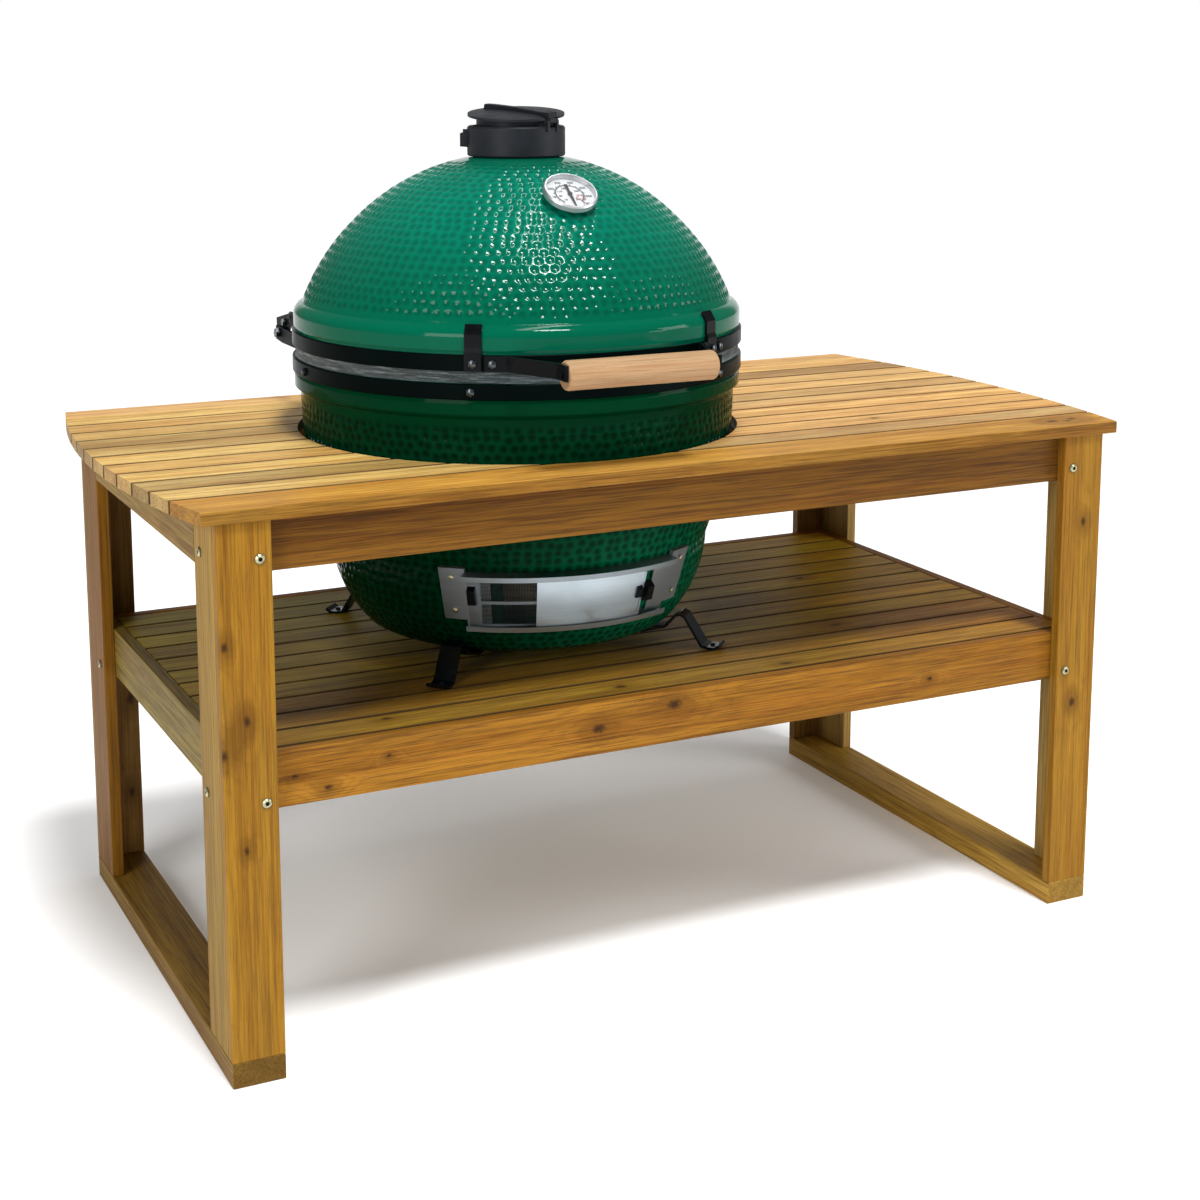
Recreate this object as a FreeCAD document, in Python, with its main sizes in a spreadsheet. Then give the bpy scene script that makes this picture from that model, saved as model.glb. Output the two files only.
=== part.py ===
import FreeCAD, Part
import math
import os
import Sketcher
from FreeCAD import Vector, Rotation, Placement

# Kamado grill table: a slatted hardwood table on four L-shaped board legs,
# with a round cut-out in the top.  A ceramic kamado stands on the lower shelf
# and rises through the cut-out.  Millimetres, +Z up, X along the table,
# front of the table towards -Y, origin on the floor under the middle.

os.makedirs("parts", exist_ok=True)
doc = FreeCAD.newDocument("kamado_grill_table")
sheet = doc.addObject("Spreadsheet::Sheet", "p")
sheet.Label = "p"

DIMS = [
    # table
    ("top_corner_len", 1440.0), ("top_sagitta", 42.0), ("top_depth", 800.0),
    ("top_height", 775.0), ("slat_thick", 18.0), ("slat_width", 60.0),
    ("slat_gap", 5.0), ("front_slat_width", 85.0), ("hole_rad", 337.5),
    ("hole_x", -109.0), ("hole_y", 10.0),
    ("frame_half_x", 700.0), ("frame_half_y", 393.0), ("board_thick", 18.0),
    ("leg_face_width", 72.0), ("leg_side_width", 106.0),
    ("runner_height", 35.0), ("apron_height", 72.0),
    ("shelf_top", 443.5), ("rail_height", 76.0), ("shelf_slat_gap", 4.5),
    ("batten_width", 40.0), ("batten_height", 30.0), ("shelf_batten_height", 25.0),
    ("edge_round", 1.6),
    ("bolt_x", 644.0), ("bolt_y", 315.0), ("bolt_z_high", 707.0),
    ("bolt_z_low", 384.0), ("bolt_head_rad", 7.0), ("bolt_head_high", 3.0),
    ("bolt_rad", 3.0), ("bolt_length", 33.0),
    # ceramic shell
    ("wall", 28.0), ("rim_rad", 338.0), ("band_rad", 342.0),
    ("lower_band_low", 865.0), ("lower_band_top", 887.5),
    ("base_rim_z", 888.0), ("lid_rim_z", 904.5),
    ("upper_band_low", 905.0), ("upper_band_top", 928.0),
    ("felt_parting", 896.0), ("felt_inner_rad", 312.0),
    ("neck_rad", 64.0), ("flue_rad", 50.0), ("neck_top", 1212.0),
    # hinge
    ("pin_v", 380.0), ("pin_z", 882.0), ("pin_rad", 4.0),
    ("arm_u", 257.0), ("arm_thick", 5.0), ("arm_gap", 1.5),
    ("bar_v", 402.0), ("bar_z", 895.0), ("bar_rad", 5.0), ("anchor_z", 800.0),
    ("spring_u", 150.0), ("spring_rad", 7.6), ("spring_wire", 1.4),
    # handle
    ("handle_y", -400.5), ("handle_z", 912.0), ("handle_rad", 20.5),
    ("handle_len", 228.0),
    # cap
    ("cap_rad", 74.0), ("cap_low", 1183.0), ("cap_top", 1228.5),
    ("rain_cap_rad", 73.0), ("rain_cap_tilt", 6.5), ("cap_hinge_azimuth", -67.0),
    ("cap_pin_r", 72.0), ("cap_pin_z", 1235.5), ("cap_pin_rad", 1.5),
    # thermometer
    ("thermo_azimuth", -91.9), ("thermo_r", 197.6), ("thermo_z", 1129.5),
    ("thermo_elev", 55.6), ("thermo_rad", 40.0),
    # draft door
    ("draft_azimuth", -97.0), ("draft_low_r", 271.4), ("draft_low_z", 521.5),
    ("draft_dr", 25.9), ("draft_dz", 86.7),
    # cradle
    ("strap_width", 32.0), ("strap_thick", 4.0),
    # grates and linings
    ("firebox_low", 492.0), ("firebox_top", 735.0), ("ring_top", 858.0),
    ("grate_rad", 300.0), ("fire_grate_rad", 128.0),
]
VAL = {}
for i, (alias, value) in enumerate(DIMS):
    cell_name, cell_value = "A%d" % (i + 1), "B%d" % (i + 1)
    sheet.set(cell_name, alias)
    sheet.set(cell_value, repr(value))
    sheet.setAlias(cell_value, alias)
    VAL[alias] = value
doc.recompute()


class Q:
    """A length of the sheet, carried as its expression and its number."""

    def __init__(self, text, value):
        self.text, self.value = text, float(value)

    @staticmethod
    def of(other):
        return other if isinstance(other, Q) else Q(repr(float(other)), other)

    def __add__(self, o):
        o = Q.of(o)
        return Q("(%s + %s)" % (self.text, o.text), self.value + o.value)

    __radd__ = __add__

    def __sub__(self, o):
        o = Q.of(o)
        return Q("(%s - (%s))" % (self.text, o.text), self.value - o.value)

    def __rsub__(self, o):
        return Q.of(o) - self

    def __mul__(self, o):
        o = Q.of(o)
        return Q("(%s * (%s))" % (self.text, o.text), self.value * o.value)

    __rmul__ = __mul__

    def __truediv__(self, o):
        o = Q.of(o)
        return Q("(%s / (%s))" % (self.text, o.text), self.value / o.value)

    def __neg__(self):
        return Q("(-1 * (%s))" % self.text, -self.value)


def d(alias):
    return Q("p." + alias, VAL[alias])


def num(q):
    return q.value if isinstance(q, Q) else float(q)


def bind(obj, prop, q):
    if isinstance(q, Q):
        obj.setExpression(prop, q.text)


def place(obj, x, y, z, rot=None):
    obj.Placement = Placement(Vector(num(x), num(y), num(z)), rot or Rotation())
    for axis, q in (("x", x), ("y", y), ("z", z)):
        bind(obj, "Placement.Base." + axis, q)


def origin_plane(body, role):
    for feature in body.Origin.OriginFeatures:
        if feature.Role == role:
            return feature
    raise RuntimeError("no plane " + role)


def new_body(name):
    body = doc.addObject("PartDesign::Body", name)
    body.Label = name
    return body


def profile(body, role, verts, name, arcs=None):
    """Closed profile; every corner is tied to the sketch origin by the sheet.

    arcs maps an edge's index to the middle point of that edge's arc, given as
    numbers; the arc's centre becomes a dimension of the sketch."""
    arcs = arcs or {}
    sketch = body.newObject("Sketcher::SketchObject", name)
    sketch.AttachmentSupport = [(origin_plane(body, role), "")]
    sketch.MapMode = "FlatFace"
    pts = [Vector(num(a), num(b), 0) for a, b in verts]
    count = len(pts)
    ends, radii = [], {}
    for i in range(count):
        a, b = pts[i], pts[(i + 1) % count]
        if i in arcs:
            mid = Vector(arcs[i][0], arcs[i][1], 0)
            starts_at_a = (mid - a).cross(b - mid).z > 0
            arc = Part.Arc(a, mid, b) if starts_at_a else Part.Arc(b, mid, a)
            index = sketch.addGeometry(arc, False)
            made = sketch.Geometry[index]
            radii[i] = (made.Center.x, made.Center.y, abs(b.x - a.x) > abs(b.y - a.y))
            ends.append((index, 1, 2) if starts_at_a else (index, 2, 1))
        else:
            index = sketch.addGeometry(Part.LineSegment(a, b), False)
            ends.append((index, 1, 2))
    for i in range(count):
        here, after = ends[i], ends[(i + 1) % count]
        sketch.addConstraint(Sketcher.Constraint("Coincident", here[0], here[2], after[0], after[1]))
    for i in range(count):
        index, start, _ = ends[i]
        for kind, q, line in (("DistanceX", verts[i][0], -2), ("DistanceY", verts[i][1], -1)):
            if abs(num(q)) < 1e-9:
                sketch.addConstraint(Sketcher.Constraint("PointOnObject", index, start, line))
                continue
            c = sketch.addConstraint(Sketcher.Constraint(kind, -1, 1, index, start, num(q)))
            label = "v%d%s" % (i, kind[-1].lower())
            sketch.renameConstraint(c, label)
            if isinstance(q, Q):
                sketch.setExpression("Constraints." + label, q.text)
    for i in arcs:
        cx, cy, wide = radii[i]
        c = sketch.addConstraint(Sketcher.Constraint("DistanceY" if wide else "DistanceX", -1, 1, ends[i][0], 3, cy if wide else cx))
        sketch.renameConstraint(c, "arc%d" % i)
    return sketch


def pad(body, sketch, length, both=False):
    feature = body.newObject("PartDesign::Pad", "Pad")
    feature.Profile = sketch
    feature.Length = num(length)
    bind(feature, "Length", length)
    if both:
        feature.SideType = "Symmetric"
    return feature


def revolve(body, sketch, angle=360.0):
    feature = body.newObject("PartDesign::Revolution", "Revolution")
    feature.Profile = sketch
    feature.ReferenceAxis = (sketch, ["V_Axis"])
    feature.Angle = num(angle)
    bind(feature, "Angle", angle)
    if num(angle) < 359.9:
        feature.Midplane = True
    return feature


def groove(body, sketch, angle):
    feature = body.newObject("PartDesign::Groove", "Groove")
    feature.Profile = sketch
    feature.ReferenceAxis = (sketch, ["V_Axis"])
    feature.Angle = num(angle)
    if num(angle) < 359.9:
        feature.Midplane = True
    return feature


KEEP = []       # (object, node name)


def node(obj, name):
    obj.Label = name
    KEEP.append((obj, name))
    return obj


AXIS_X, AXIS_Y = d("hole_x"), d("hole_y")


def on_axis(obj, azimuth=0.0, z=0.0):
    place(obj, AXIS_X, AXIS_Y, z, Rotation(Vector(0, 0, 1), azimuth))


def cylinder(name, radius, height, base=(0, 0, 0), direction=(0, 0, 1)):
    obj = doc.addObject("Part::Cylinder", name)
    obj.Radius, obj.Height = num(radius), num(height)
    bind(obj, "Radius", radius)
    bind(obj, "Height", height)
    place(obj, base[0], base[1], base[2], Rotation(Vector(0, 0, 1), Vector(*direction)))
    return obj


def box(name, x, y, z, lx, ly, lz):
    obj = doc.addObject("Part::Box", name)
    obj.Length, obj.Width, obj.Height = num(lx), num(ly), num(lz)
    bind(obj, "Length", lx)
    bind(obj, "Width", ly)
    bind(obj, "Height", lz)
    place(obj, x, y, z)
    return obj


def cut(name, base, tool):
    obj = doc.addObject("Part::Cut", name)
    obj.Base, obj.Tool = base, tool
    return obj


def common(name, base, tool):
    obj = doc.addObject("Part::Common", name)
    obj.Base, obj.Tool = base, tool
    return obj


def fuse(name, shapes):
    obj = doc.addObject("Part::MultiFuse", name)
    obj.Shapes = shapes
    obj.Refine = True
    return obj


def group(name, shapes):
    obj = doc.addObject("Part::Compound", name)
    obj.Links = shapes
    return obj


# ------------------------------------------------------------------ table
T = d("board_thick")
HX, HY = d("frame_half_x"), d("frame_half_y")
TOP, ST = d("top_height"), d("slat_thick")
UNDER_TOP = TOP - ST
SHELF = d("shelf_top")


def board(name, x, y, z, lx, ly, lz, arris=True):
    """A planed board with its long and short edges eased."""
    body = new_body(name)
    sketch = profile(body, "XY_Plane", [(0, 0), (lx, 0), (lx, ly), (0, ly)], "Section")
    feature = pad(body, sketch, lz)
    if arris:
        doc.recompute()
        ease = body.newObject("PartDesign::Fillet", "Arris")
        ease.Base = (feature, ["Edge%d" % (i + 1) for i in range(len(feature.Shape.Edges))])
        ease.Radius = num(d("edge_round"))
        bind(ease, "Radius", d("edge_round"))
    place(body, x, y, z)
    return body


# Bolts: button head with a hex socket on a plain shank, along -Z locally.
bolt_body = new_body("bolt_pattern_piece")
bolt_sketch = profile(bolt_body, "XZ_Plane", [
    (0, -d("bolt_length")), (d("bolt_rad"), -d("bolt_length")), (d("bolt_rad"), 0),
    (d("bolt_head_rad"), 0), (d("bolt_head_rad"), 0.9), (4.4, d("bolt_head_high")),
    (0, d("bolt_head_high"))], "Half")
revolve(bolt_body, bolt_sketch)
hexa = [(2.6 * math.cos(math.radians(60 * i)), 2.6 * math.sin(math.radians(60 * i))) for i in range(6)]
doc.recompute()
bolt = bolt_body.Shape.copy()
socket = Part.Face(Part.makePolygon([Vector(x, y, 1.2) for x, y in hexa + hexa[:1]])).extrude(Vector(0, 0, 5))
bolt = bolt.cut(socket)

bolt_places = []
for sy in (-1, 1):
    for sx in (-1, 1):
        for z in ("bolt_z_high", "bolt_z_low"):
            bolt_places.append((Vector(sx * VAL["bolt_x"], sy * VAL["frame_half_y"], VAL[z]), Vector(0, sy, 0)))
            bolt_places.append((Vector(sx * VAL["frame_half_x"], sy * VAL["bolt_y"], VAL[z] - 2.0), Vector(sx, 0, 0)))
bolts, shanks = [], []
for where, out in bolt_places:
    placed = bolt.copy()
    placed.Placement = Placement(where, Rotation(Vector(0, 0, 1), out))
    bolts.append(placed)
    shanks.append(Part.makeCylinder(VAL["bolt_rad"], VAL["bolt_length"] + 1.0, where + out, out.negative()))
leg_bolts = doc.addObject("Part::Feature", "leg_bolts")
leg_bolts.Shape = Part.makeCompound(bolts)
node(leg_bolts, "leg_bolts")
bolt_holes = doc.addObject("Part::Feature", "bolt_holes")
bolt_holes.Shape = Part.makeCompound(shanks)


def drilled(blank, name):
    return node(cut(name, blank, bolt_holes), name)


# runners: one beam under each pair of legs
FACE, SIDE = d("leg_face_width"), d("leg_side_width")
RUN = d("runner_height")
for name, x in (("runner_left", -HX), ("runner_right", HX - FACE)):
    node(board(name, x, -HY, 0, FACE, HY * 2, RUN), name)

# legs: a face board and a side board meet in an L at every corner
LEG_H = UNDER_TOP - RUN
for yname, face_y, side_y in (("front", -HY, -HY + T), ("back", HY - T, HY - SIDE)):
    for xname, face_x, side_x in (("left", -HX, -HX), ("right", HX - FACE, HX - T)):
        stem = "leg_%s_%s" % (yname, xname)
        drilled(board(stem + "_face_blank", face_x, face_y, RUN, FACE, T, LEG_H), stem + "_face")
        drilled(board(stem + "_side_blank", side_x, side_y, RUN, T, SIDE - T, LEG_H), stem + "_side")

# aprons under the top: the long ones stand inside the legs' face boards,
# the end ones are flush with the legs' side boards and rebated behind them
AH = d("apron_height")
APRON_Z = UNDER_TOP - AH
inner_x = HX - T
inner_y = HY - T
drilled(board("apron_front_blank", -inner_x, -inner_y, APRON_Z, inner_x * 2, T, AH), "apron_front")
drilled(board("apron_back_blank", -inner_x, inner_y - T, APRON_Z, inner_x * 2, T, AH), "apron_back")
end_half = HY - SIDE - 0.4
rebate_half = inner_y - T
for name, sign in (("end_apron_left", -1), ("end_apron_right", 1)):
    body = new_body(name + "_blank")
    outer, step, inner = sign * HX, sign * inner_x, sign * (inner_x - T)
    sketch = profile(body, "XY_Plane", [
        (outer, -end_half), (step, -end_half), (step, -rebate_half), (inner, -rebate_half),
        (inner, rebate_half), (step, rebate_half), (step, end_half), (outer, end_half)], "Plan")
    feature = pad(body, sketch, AH)
    place(body, 0, 0, APRON_Z)
    drilled(body, name)

# shelf frame
RAIL = d("rail_height")
RAIL_Z = SHELF - RAIL
drilled(board("shelf_rail_front_blank", -(inner_x - T), -inner_y, RAIL_Z, (inner_x - T) * 2, T, RAIL), "shelf_rail_front")
drilled(board("shelf_rail_back_blank", -(inner_x - T), inner_y - T, RAIL_Z, (inner_x - T) * 2, T, RAIL), "shelf_rail_back")
drilled(board("shelf_rail_left_blank", -inner_x, -inner_y, RAIL_Z, T, inner_y * 2, RAIL), "shelf_rail_left")
drilled(board("shelf_rail_right_blank", inner_x - T, -inner_y, RAIL_Z, T, inner_y * 2, RAIL), "shelf_rail_right")

# shelf slats between the rails, level with the rails' top edges
SG = d("shelf_slat_gap")
SW = d("slat_width")
slats = []
for i in range(11):
    y = -(inner_y - T) + SG + (SW + SG) * i
    slats.append(board("shelf_slat_%d" % (i + 1), -(inner_x - T) + 1.0, y, SHELF - ST, (inner_x - T - 1.0) * 2, SW, ST))
node(group("shelf_slats", slats), "shelf_slats")

SBH = d("shelf_batten_height")
BW = d("batten_width")
shelf_battens = []
for i, x in enumerate((-460.0, -190.0, 150.0, 430.0)):
    shelf_battens.append(box("shelf_batten_%d" % (i + 1), x, -(inner_y - T), SHELF - ST - SBH, BW, (inner_y - T) * 2, SBH))
node(group("shelf_battens", shelf_battens), "shelf_battens")

BH = d("batten_height")
top_battens = []
for i, x in enumerate((-520.0, 246.0, 470.0)):
    top_battens.append(box("top_batten_%d" % (i + 1), x, -(inner_y - T), UNDER_TOP - BH, BW, (inner_y - T) * 2, BH))
node(group("top_battens", top_battens), "top_battens")

# top slats: the two ends of the top are one flat arc each, and the round
# cut-out for the kamado goes through the slats left of the middle
corner, sag, depth = d("top_corner_len"), d("top_sagitta"), d("top_depth")
end_rad = (depth * depth / 4.0 + sag * sag) / (sag * 2.0)
end_centre = corner / 2.0 + sag - end_rad
lens_left = cylinder("end_arc_left", end_rad, ST + 20.0, (-end_centre, 0, UNDER_TOP - 10.0))
lens_right = cylinder("end_arc_right", end_rad, ST + 20.0, (end_centre, 0, UNDER_TOP - 10.0))
outline = common("top_outline", lens_left, lens_right)
hole = cylinder("cut_out", d("hole_rad"), ST + 20.0, (AXIS_X, AXIS_Y, UNDER_TOP - 10.0))
SPACE = d("slat_gap")
FSW = d("front_slat_width")
half_top = corner / 2.0 + sag + 5.0


def top_slat(name, y, width):
    return board(name, -half_top, y, UNDER_TOP, half_top * 2, width, ST)


front = top_slat("front_slat_stock", -depth / 2.0, FSW)
node(cut("top_slat_front", common("front_slat_ends", front, outline), hole), "top_slat_front")
back = top_slat("back_slat_stock", depth / 2.0 - SW, SW)
node(cut("top_slat_back", common("back_slat_ends", back, outline), hole), "top_slat_back")
stock = []
for i in range(10):
    y = -depth / 2.0 + FSW + SPACE + (SW + SPACE) * i
    stock.append(top_slat("cut_slat_stock_%d" % (i + 1), y, SW))
cut_slats = cut("cut_slats", common("cut_slat_ends", group("cut_slat_stock", stock), outline), hole)
halves = []
for name, x in (("left", AXIS_X - 800.0), ("right", AXIS_X)):
    half = box("half_" + name, x, -450.0, UNDER_TOP - 5.0, Q.of(1000.0) if name == "right" else Q.of(800.0), 900.0, ST + 10.0)
    node(common("top_slats_" + name, cut_slats, half), "top_slats_" + name)

# ---------------------------------------------------------- ceramic shell
W = d("wall")
RIM = d("rim_rad")


def turned(name, verts, arcs=None, angle=360.0, azimuth=0.0):
    body = new_body(name)
    sketch = profile(body, "XZ_Plane", verts, "Profile", arcs)
    revolve(body, sketch, angle)
    on_axis(body, azimuth)
    return body


base_verts = [
    (0, 465), (180, 465), (238, 482), (291, 608), (RIM - 7, 836), (RIM + 1.5, 843),
    (RIM + 1.5, 860), (RIM, 864), (RIM, d("base_rim_z")), (RIM - W, d("base_rim_z")),
    (RIM - W, 850), (263, 608), (205, 500), (165, 492), (0, 492)]
base_arcs = {1: (212.5, 470.5), 2: (268.5, 524), 3: (322.5, 732), 10: (295.5, 732), 11: (246, 545)}
base_blank = turned("base_blank", base_verts, base_arcs)
doc.recompute()
sector = new_body("draft_hole_tool")
sketch = profile(sector, "XZ_Plane", [(200, 532), (320, 532), (320, 598), (200, 598)], "Opening")
revolve(sector, sketch, 44.0)
on_axis(sector, VAL["draft_azimuth"])
node(cut("base_bowl", base_blank, sector), "base_bowl")

dome_verts = [
    (RIM - W, d("lid_rim_z")), (RIM, d("lid_rim_z")), (RIM, 930), (RIM + 1.5, 934),
    (RIM + 1.5, 952), (326, 968), (247, 1088), (75, 1181), (d("neck_rad"), 1181.6), (d("neck_rad"), d("neck_top")),
    (d("flue_rad"), d("neck_top")), (d("flue_rad"), 1160), (230, 1068), (299, 962), (RIM - W, 930)]
dome_arcs = {4: (334.5, 962.5), 5: (294, 1031), 6: (178, 1142), 11: (160, 1119), 12: (270.5, 1020)}
dome_blank = turned("dome_blank", dome_verts, dome_arcs)
elev = math.radians(VAL["thermo_elev"])
azim = math.radians(VAL["thermo_azimuth"])
t_axis = Vector(math.cos(elev) * math.cos(azim), math.cos(elev) * math.sin(azim), math.sin(elev))
t_point = Vector(VAL["hole_x"] + VAL["thermo_r"] * math.cos(azim),
                 VAL["hole_y"] + VAL["thermo_r"] * math.sin(azim), VAL["thermo_z"])
stem_hole = cylinder("stem_hole", 5.0, 90.0, tuple(t_point - t_axis * 60), tuple(t_axis))
node(cut("dome", dome_blank, stem_hole), "dome")

FIN = d("felt_inner_rad")
FP = d("felt_parting")
node(turned("base_felt", [(FIN, d("base_rim_z")), (RIM - 0.5, d("base_rim_z")), (RIM - 0.5, FP - 0.15), (FIN, FP - 0.15)]), "base_felt")
node(turned("dome_felt", [(FIN, FP + 0.15), (RIM - 0.5, FP + 0.15), (RIM - 0.5, d("lid_rim_z")), (FIN, d("lid_rim_z"))]), "dome_felt")


def band(name, low, high):
    R = d("band_rad")
    body = new_body(name)
    sketch = profile(body, "XZ_Plane", [(RIM + 0.02, low), (R - 1.2, low), (R, low + 1.2), (R, high - 1.2), (R - 1.2, high), (RIM + 0.02, high)], "Profile")
    revolve(body, sketch)
    on_axis(body)
    return node(body, name)


band("lower_band", d("lower_band_low"), d("lower_band_top"))
band("upper_band", d("upper_band_low"), d("upper_band_top"))

# clips of the upper band that hook over the dome's lip
tabs = []
for i, az in enumerate((-124.2, -59.6)):
    body = new_body("band_tab_%d" % (i + 1))
    sketch = profile(body, "XZ_Plane", [
        (342.3, 906), (342.3, 931), (340.0, 937), (340.0, 954), (332.5, 967.5), (334.8, 970),
        (343.2, 956), (343.2, 938), (345.5, 932), (345.5, 906)], "Side")
    pad(body, sketch, 24.0, both=True)
    on_axis(body, az)
    tabs.append(body)
node(group("band_tabs", tabs), "band_tabs")


def at_azimuth(az, radius, z):
    a = math.radians(az)
    return (Vector(VAL["hole_x"] + radius * math.cos(a), VAL["hole_y"] + radius * math.sin(a), z),
            Vector(math.cos(a), math.sin(a), 0))


# screw heads: a low hexagon with a domed end
def screw_head(where, out, size=6.0, high=5.0, shank=0.0, shank_rad=2.5):
    six = [Vector(size * math.cos(math.radians(60 * i)), size * math.sin(math.radians(60 * i)), 0) for i in range(6)]
    head = Part.Face(Part.makePolygon(six + six[:1])).extrude(Vector(0, 0, high * 0.6))
    ball_rad = (size * size + (high * 0.4) ** 2) / (2 * high * 0.4)
    ball = Part.makeSphere(ball_rad, Vector(0, 0, high - ball_rad))
    dome_end = ball.common(Part.makeCylinder(size * 0.86, high, Vector(0, 0, high * 0.55)))
    head = head.fuse(dome_end).removeSplitter()
    if shank > 0:
        head = head.fuse(Part.makeCylinder(shank_rad, shank, Vector(0, 0, -shank))).removeSplitter()
    head.Placement = Placement(where, Rotation(Vector(0, 0, 1), out))
    return head


def screws(name, places, **kw):
    obj = doc.addObject("Part::Feature", name)
    obj.Shape = Part.makeCompound([screw_head(w, o, **kw) for w, o in places])
    return node(obj, name)


screws("upper_band_screws",
       [at_azimuth(az, r, 916.5) for az, r in ((-124.2, 345.6), (-119.6, 346.9), (-59.6, 345.6), (-55.2, 342.1))])
screws("lower_band_screws",
       [at_azimuth(az, 342.1, 876.3) for az in (-124.8, -55.2, -179.2, -0.8)])

# ------------------------------------------------------------------ hinge
AU, AT = d("arm_u"), d("arm_thick")
PV, PZ, PR = d("pin_v"), d("pin_z"), d("pin_rad")


def side_plate(name, u, thick, verts):
    """A plate across X at u..u+thick from the kamado's axis, drawn in (y, z)."""
    body = new_body(name)
    sketch = profile(body, "YZ_Plane", verts, "Side")
    pad(body, sketch, thick)
    place(body, AXIS_X + u, AXIS_Y, 0)
    return body


low_arm = [(228, 867), (228, 887), (PV - 20, 893), (PV + 13, 893), (PV + 13, 871), (PV - 20, 868)]
hanger = [(300, 887), (300, 868), (388, 792), (411, 792), (411, 808), (396, 812), (372, 850), (330, 887)]
lower_parts = [turned("hinge_lower_plate", [(342.3, 865.5), (346.5, 865.5), (346.5, 887), (342.3, 887)], None, 102.0, 90.0)]
for s, name in ((-1, "left"), (1, "right")):
    lower_parts.append(side_plate("low_arm_" + name, AU if s > 0 else -AU - AT, AT, low_arm))
    lower_parts.append(side_plate("hanger_" + name, Q.of(168.0) if s > 0 else Q.of(-172.0), 4.0, hanger))
lower_parts.append(cylinder("spring_anchor", d("bar_rad"), 344.0, (AXIS_X - 172.0, AXIS_Y + d("bar_v"), d("anchor_z")), (1, 0, 0)))
lower_bracket = fuse("hinge_lower_solid", lower_parts)
pin_bore_low = cylinder("pin_bore_low", PR + 0.01, 560.0, (AXIS_X - 280.0, AXIS_Y + PV, PZ), (1, 0, 0))
node(cut("hinge_lower_bracket", lower_bracket, pin_bore_low), "hinge_lower_bracket")

GAP = d("arm_gap")
high_arm = [(236, 905.5), (236, 927), (300, 927), (d("bar_v") + 7, 904), (d("bar_v") + 7, 886), (PV + 10, 873), (PV - 10, 873), (PV - 34, 893), (300, 905.5)]
upper_parts = [turned("hinge_upper_plate", [(342.3, 905.5), (346.5, 905.5), (346.5, 927.5), (342.3, 927.5)], None, 100.0, 90.0)]
for s, name in ((-1, "left"), (1, "right")):
    upper_parts.append(side_plate("high_arm_" + name, AU - GAP - AT if s > 0 else -AU + GAP, AT, high_arm))
bar_len = (AU - GAP) * 2.0
upper_parts.append(cylinder("hinge_bar", d("bar_rad"), bar_len, (AXIS_X - AU + GAP, AXIS_Y + d("bar_v"), d("bar_z")), (1, 0, 0)))
upper_bracket = fuse("hinge_upper_solid", upper_parts)
pin_bore_high = cylinder("pin_bore_high", PR + 0.05, 560.0, (AXIS_X - 280.0, AXIS_Y + PV, PZ), (1, 0, 0))
node(cut("hinge_upper_bracket", upper_bracket, pin_bore_high), "hinge_upper_bracket")

pins = []
for s, name in ((-1, "left"), (1, "right")):
    shank_len = AT * 2.0 + GAP + 4.0
    x0 = AXIS_X + AU - GAP - AT - 2.0 if s > 0 else AXIS_X - AU - AT - 2.0
    shank = cylinder("pin_shank_" + name, PR, shank_len, (x0, AXIS_Y + PV, PZ), (1, 0, 0))
    hx = AXIS_X + AU + AT + 0.05 if s > 0 else AXIS_X - AU - AT - 3.05
    head = cylinder("pin_head_" + name, PR + 3.0, 3.0, (hx, AXIS_Y + PV, PZ), (1, 0, 0))
    pins.append(fuse("pin_" + name, [shank, head]))
node(group("hinge_pins", pins), "hinge_pins")

# springs between the fixed anchor bar and the lid's hinge bar
spring_parts = []
for s in (-1, 1):
    low = VAL["anchor_z"] + VAL["bar_rad"] + 2.5
    high = VAL["bar_z"] - VAL["bar_rad"] - 2.5
    helix = Part.makeHelix(7.0, high - low, VAL["spring_rad"])
    section = Part.Wire([Part.makeCircle(VAL["spring_wire"], Vector(VAL["spring_rad"], 0, 0), Vector(0, 1, 0))])
    coil = Part.Wire(helix).makePipeShell([section], True, True)
    coil.translate(Vector(VAL["hole_x"] + s * VAL["spring_u"], VAL["hole_y"] + VAL["bar_v"], low))
    spring_parts.append(coil)
springs = doc.addObject("Part::Feature", "hinge_springs")
springs.Shape = Part.makeCompound(spring_parts)
node(springs, "hinge_springs")

# ----------------------------------------------------------------- handle
HL, HR = d("handle_len"), d("handle_rad")
handle = new_body("handle_bar")
hs = profile(handle, "XZ_Plane", [
    (5.1, -HL / 2.0), (HR - 5, -HL / 2.0), (HR, -HL / 2.0 + 5), (HR, HL / 2.0 - 5),
    (HR - 5, HL / 2.0), (5.1, HL / 2.0)], "Half",
    {1: (HR.value - 5 + 5 * math.sin(math.radians(45)), -HL.value / 2 + 5 - 5 * math.cos(math.radians(45))),
     3: (HR.value - 5 + 5 * math.sin(math.radians(45)), HL.value / 2 - 5 + 5 * math.cos(math.radians(45)))})
revolve(handle, hs)
place(handle, AXIS_X, d("handle_y"), d("handle_z"), Rotation(Vector(0, 0, 1), Vector(1, 0, 0)))
node(handle, "handle_bar")

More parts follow.
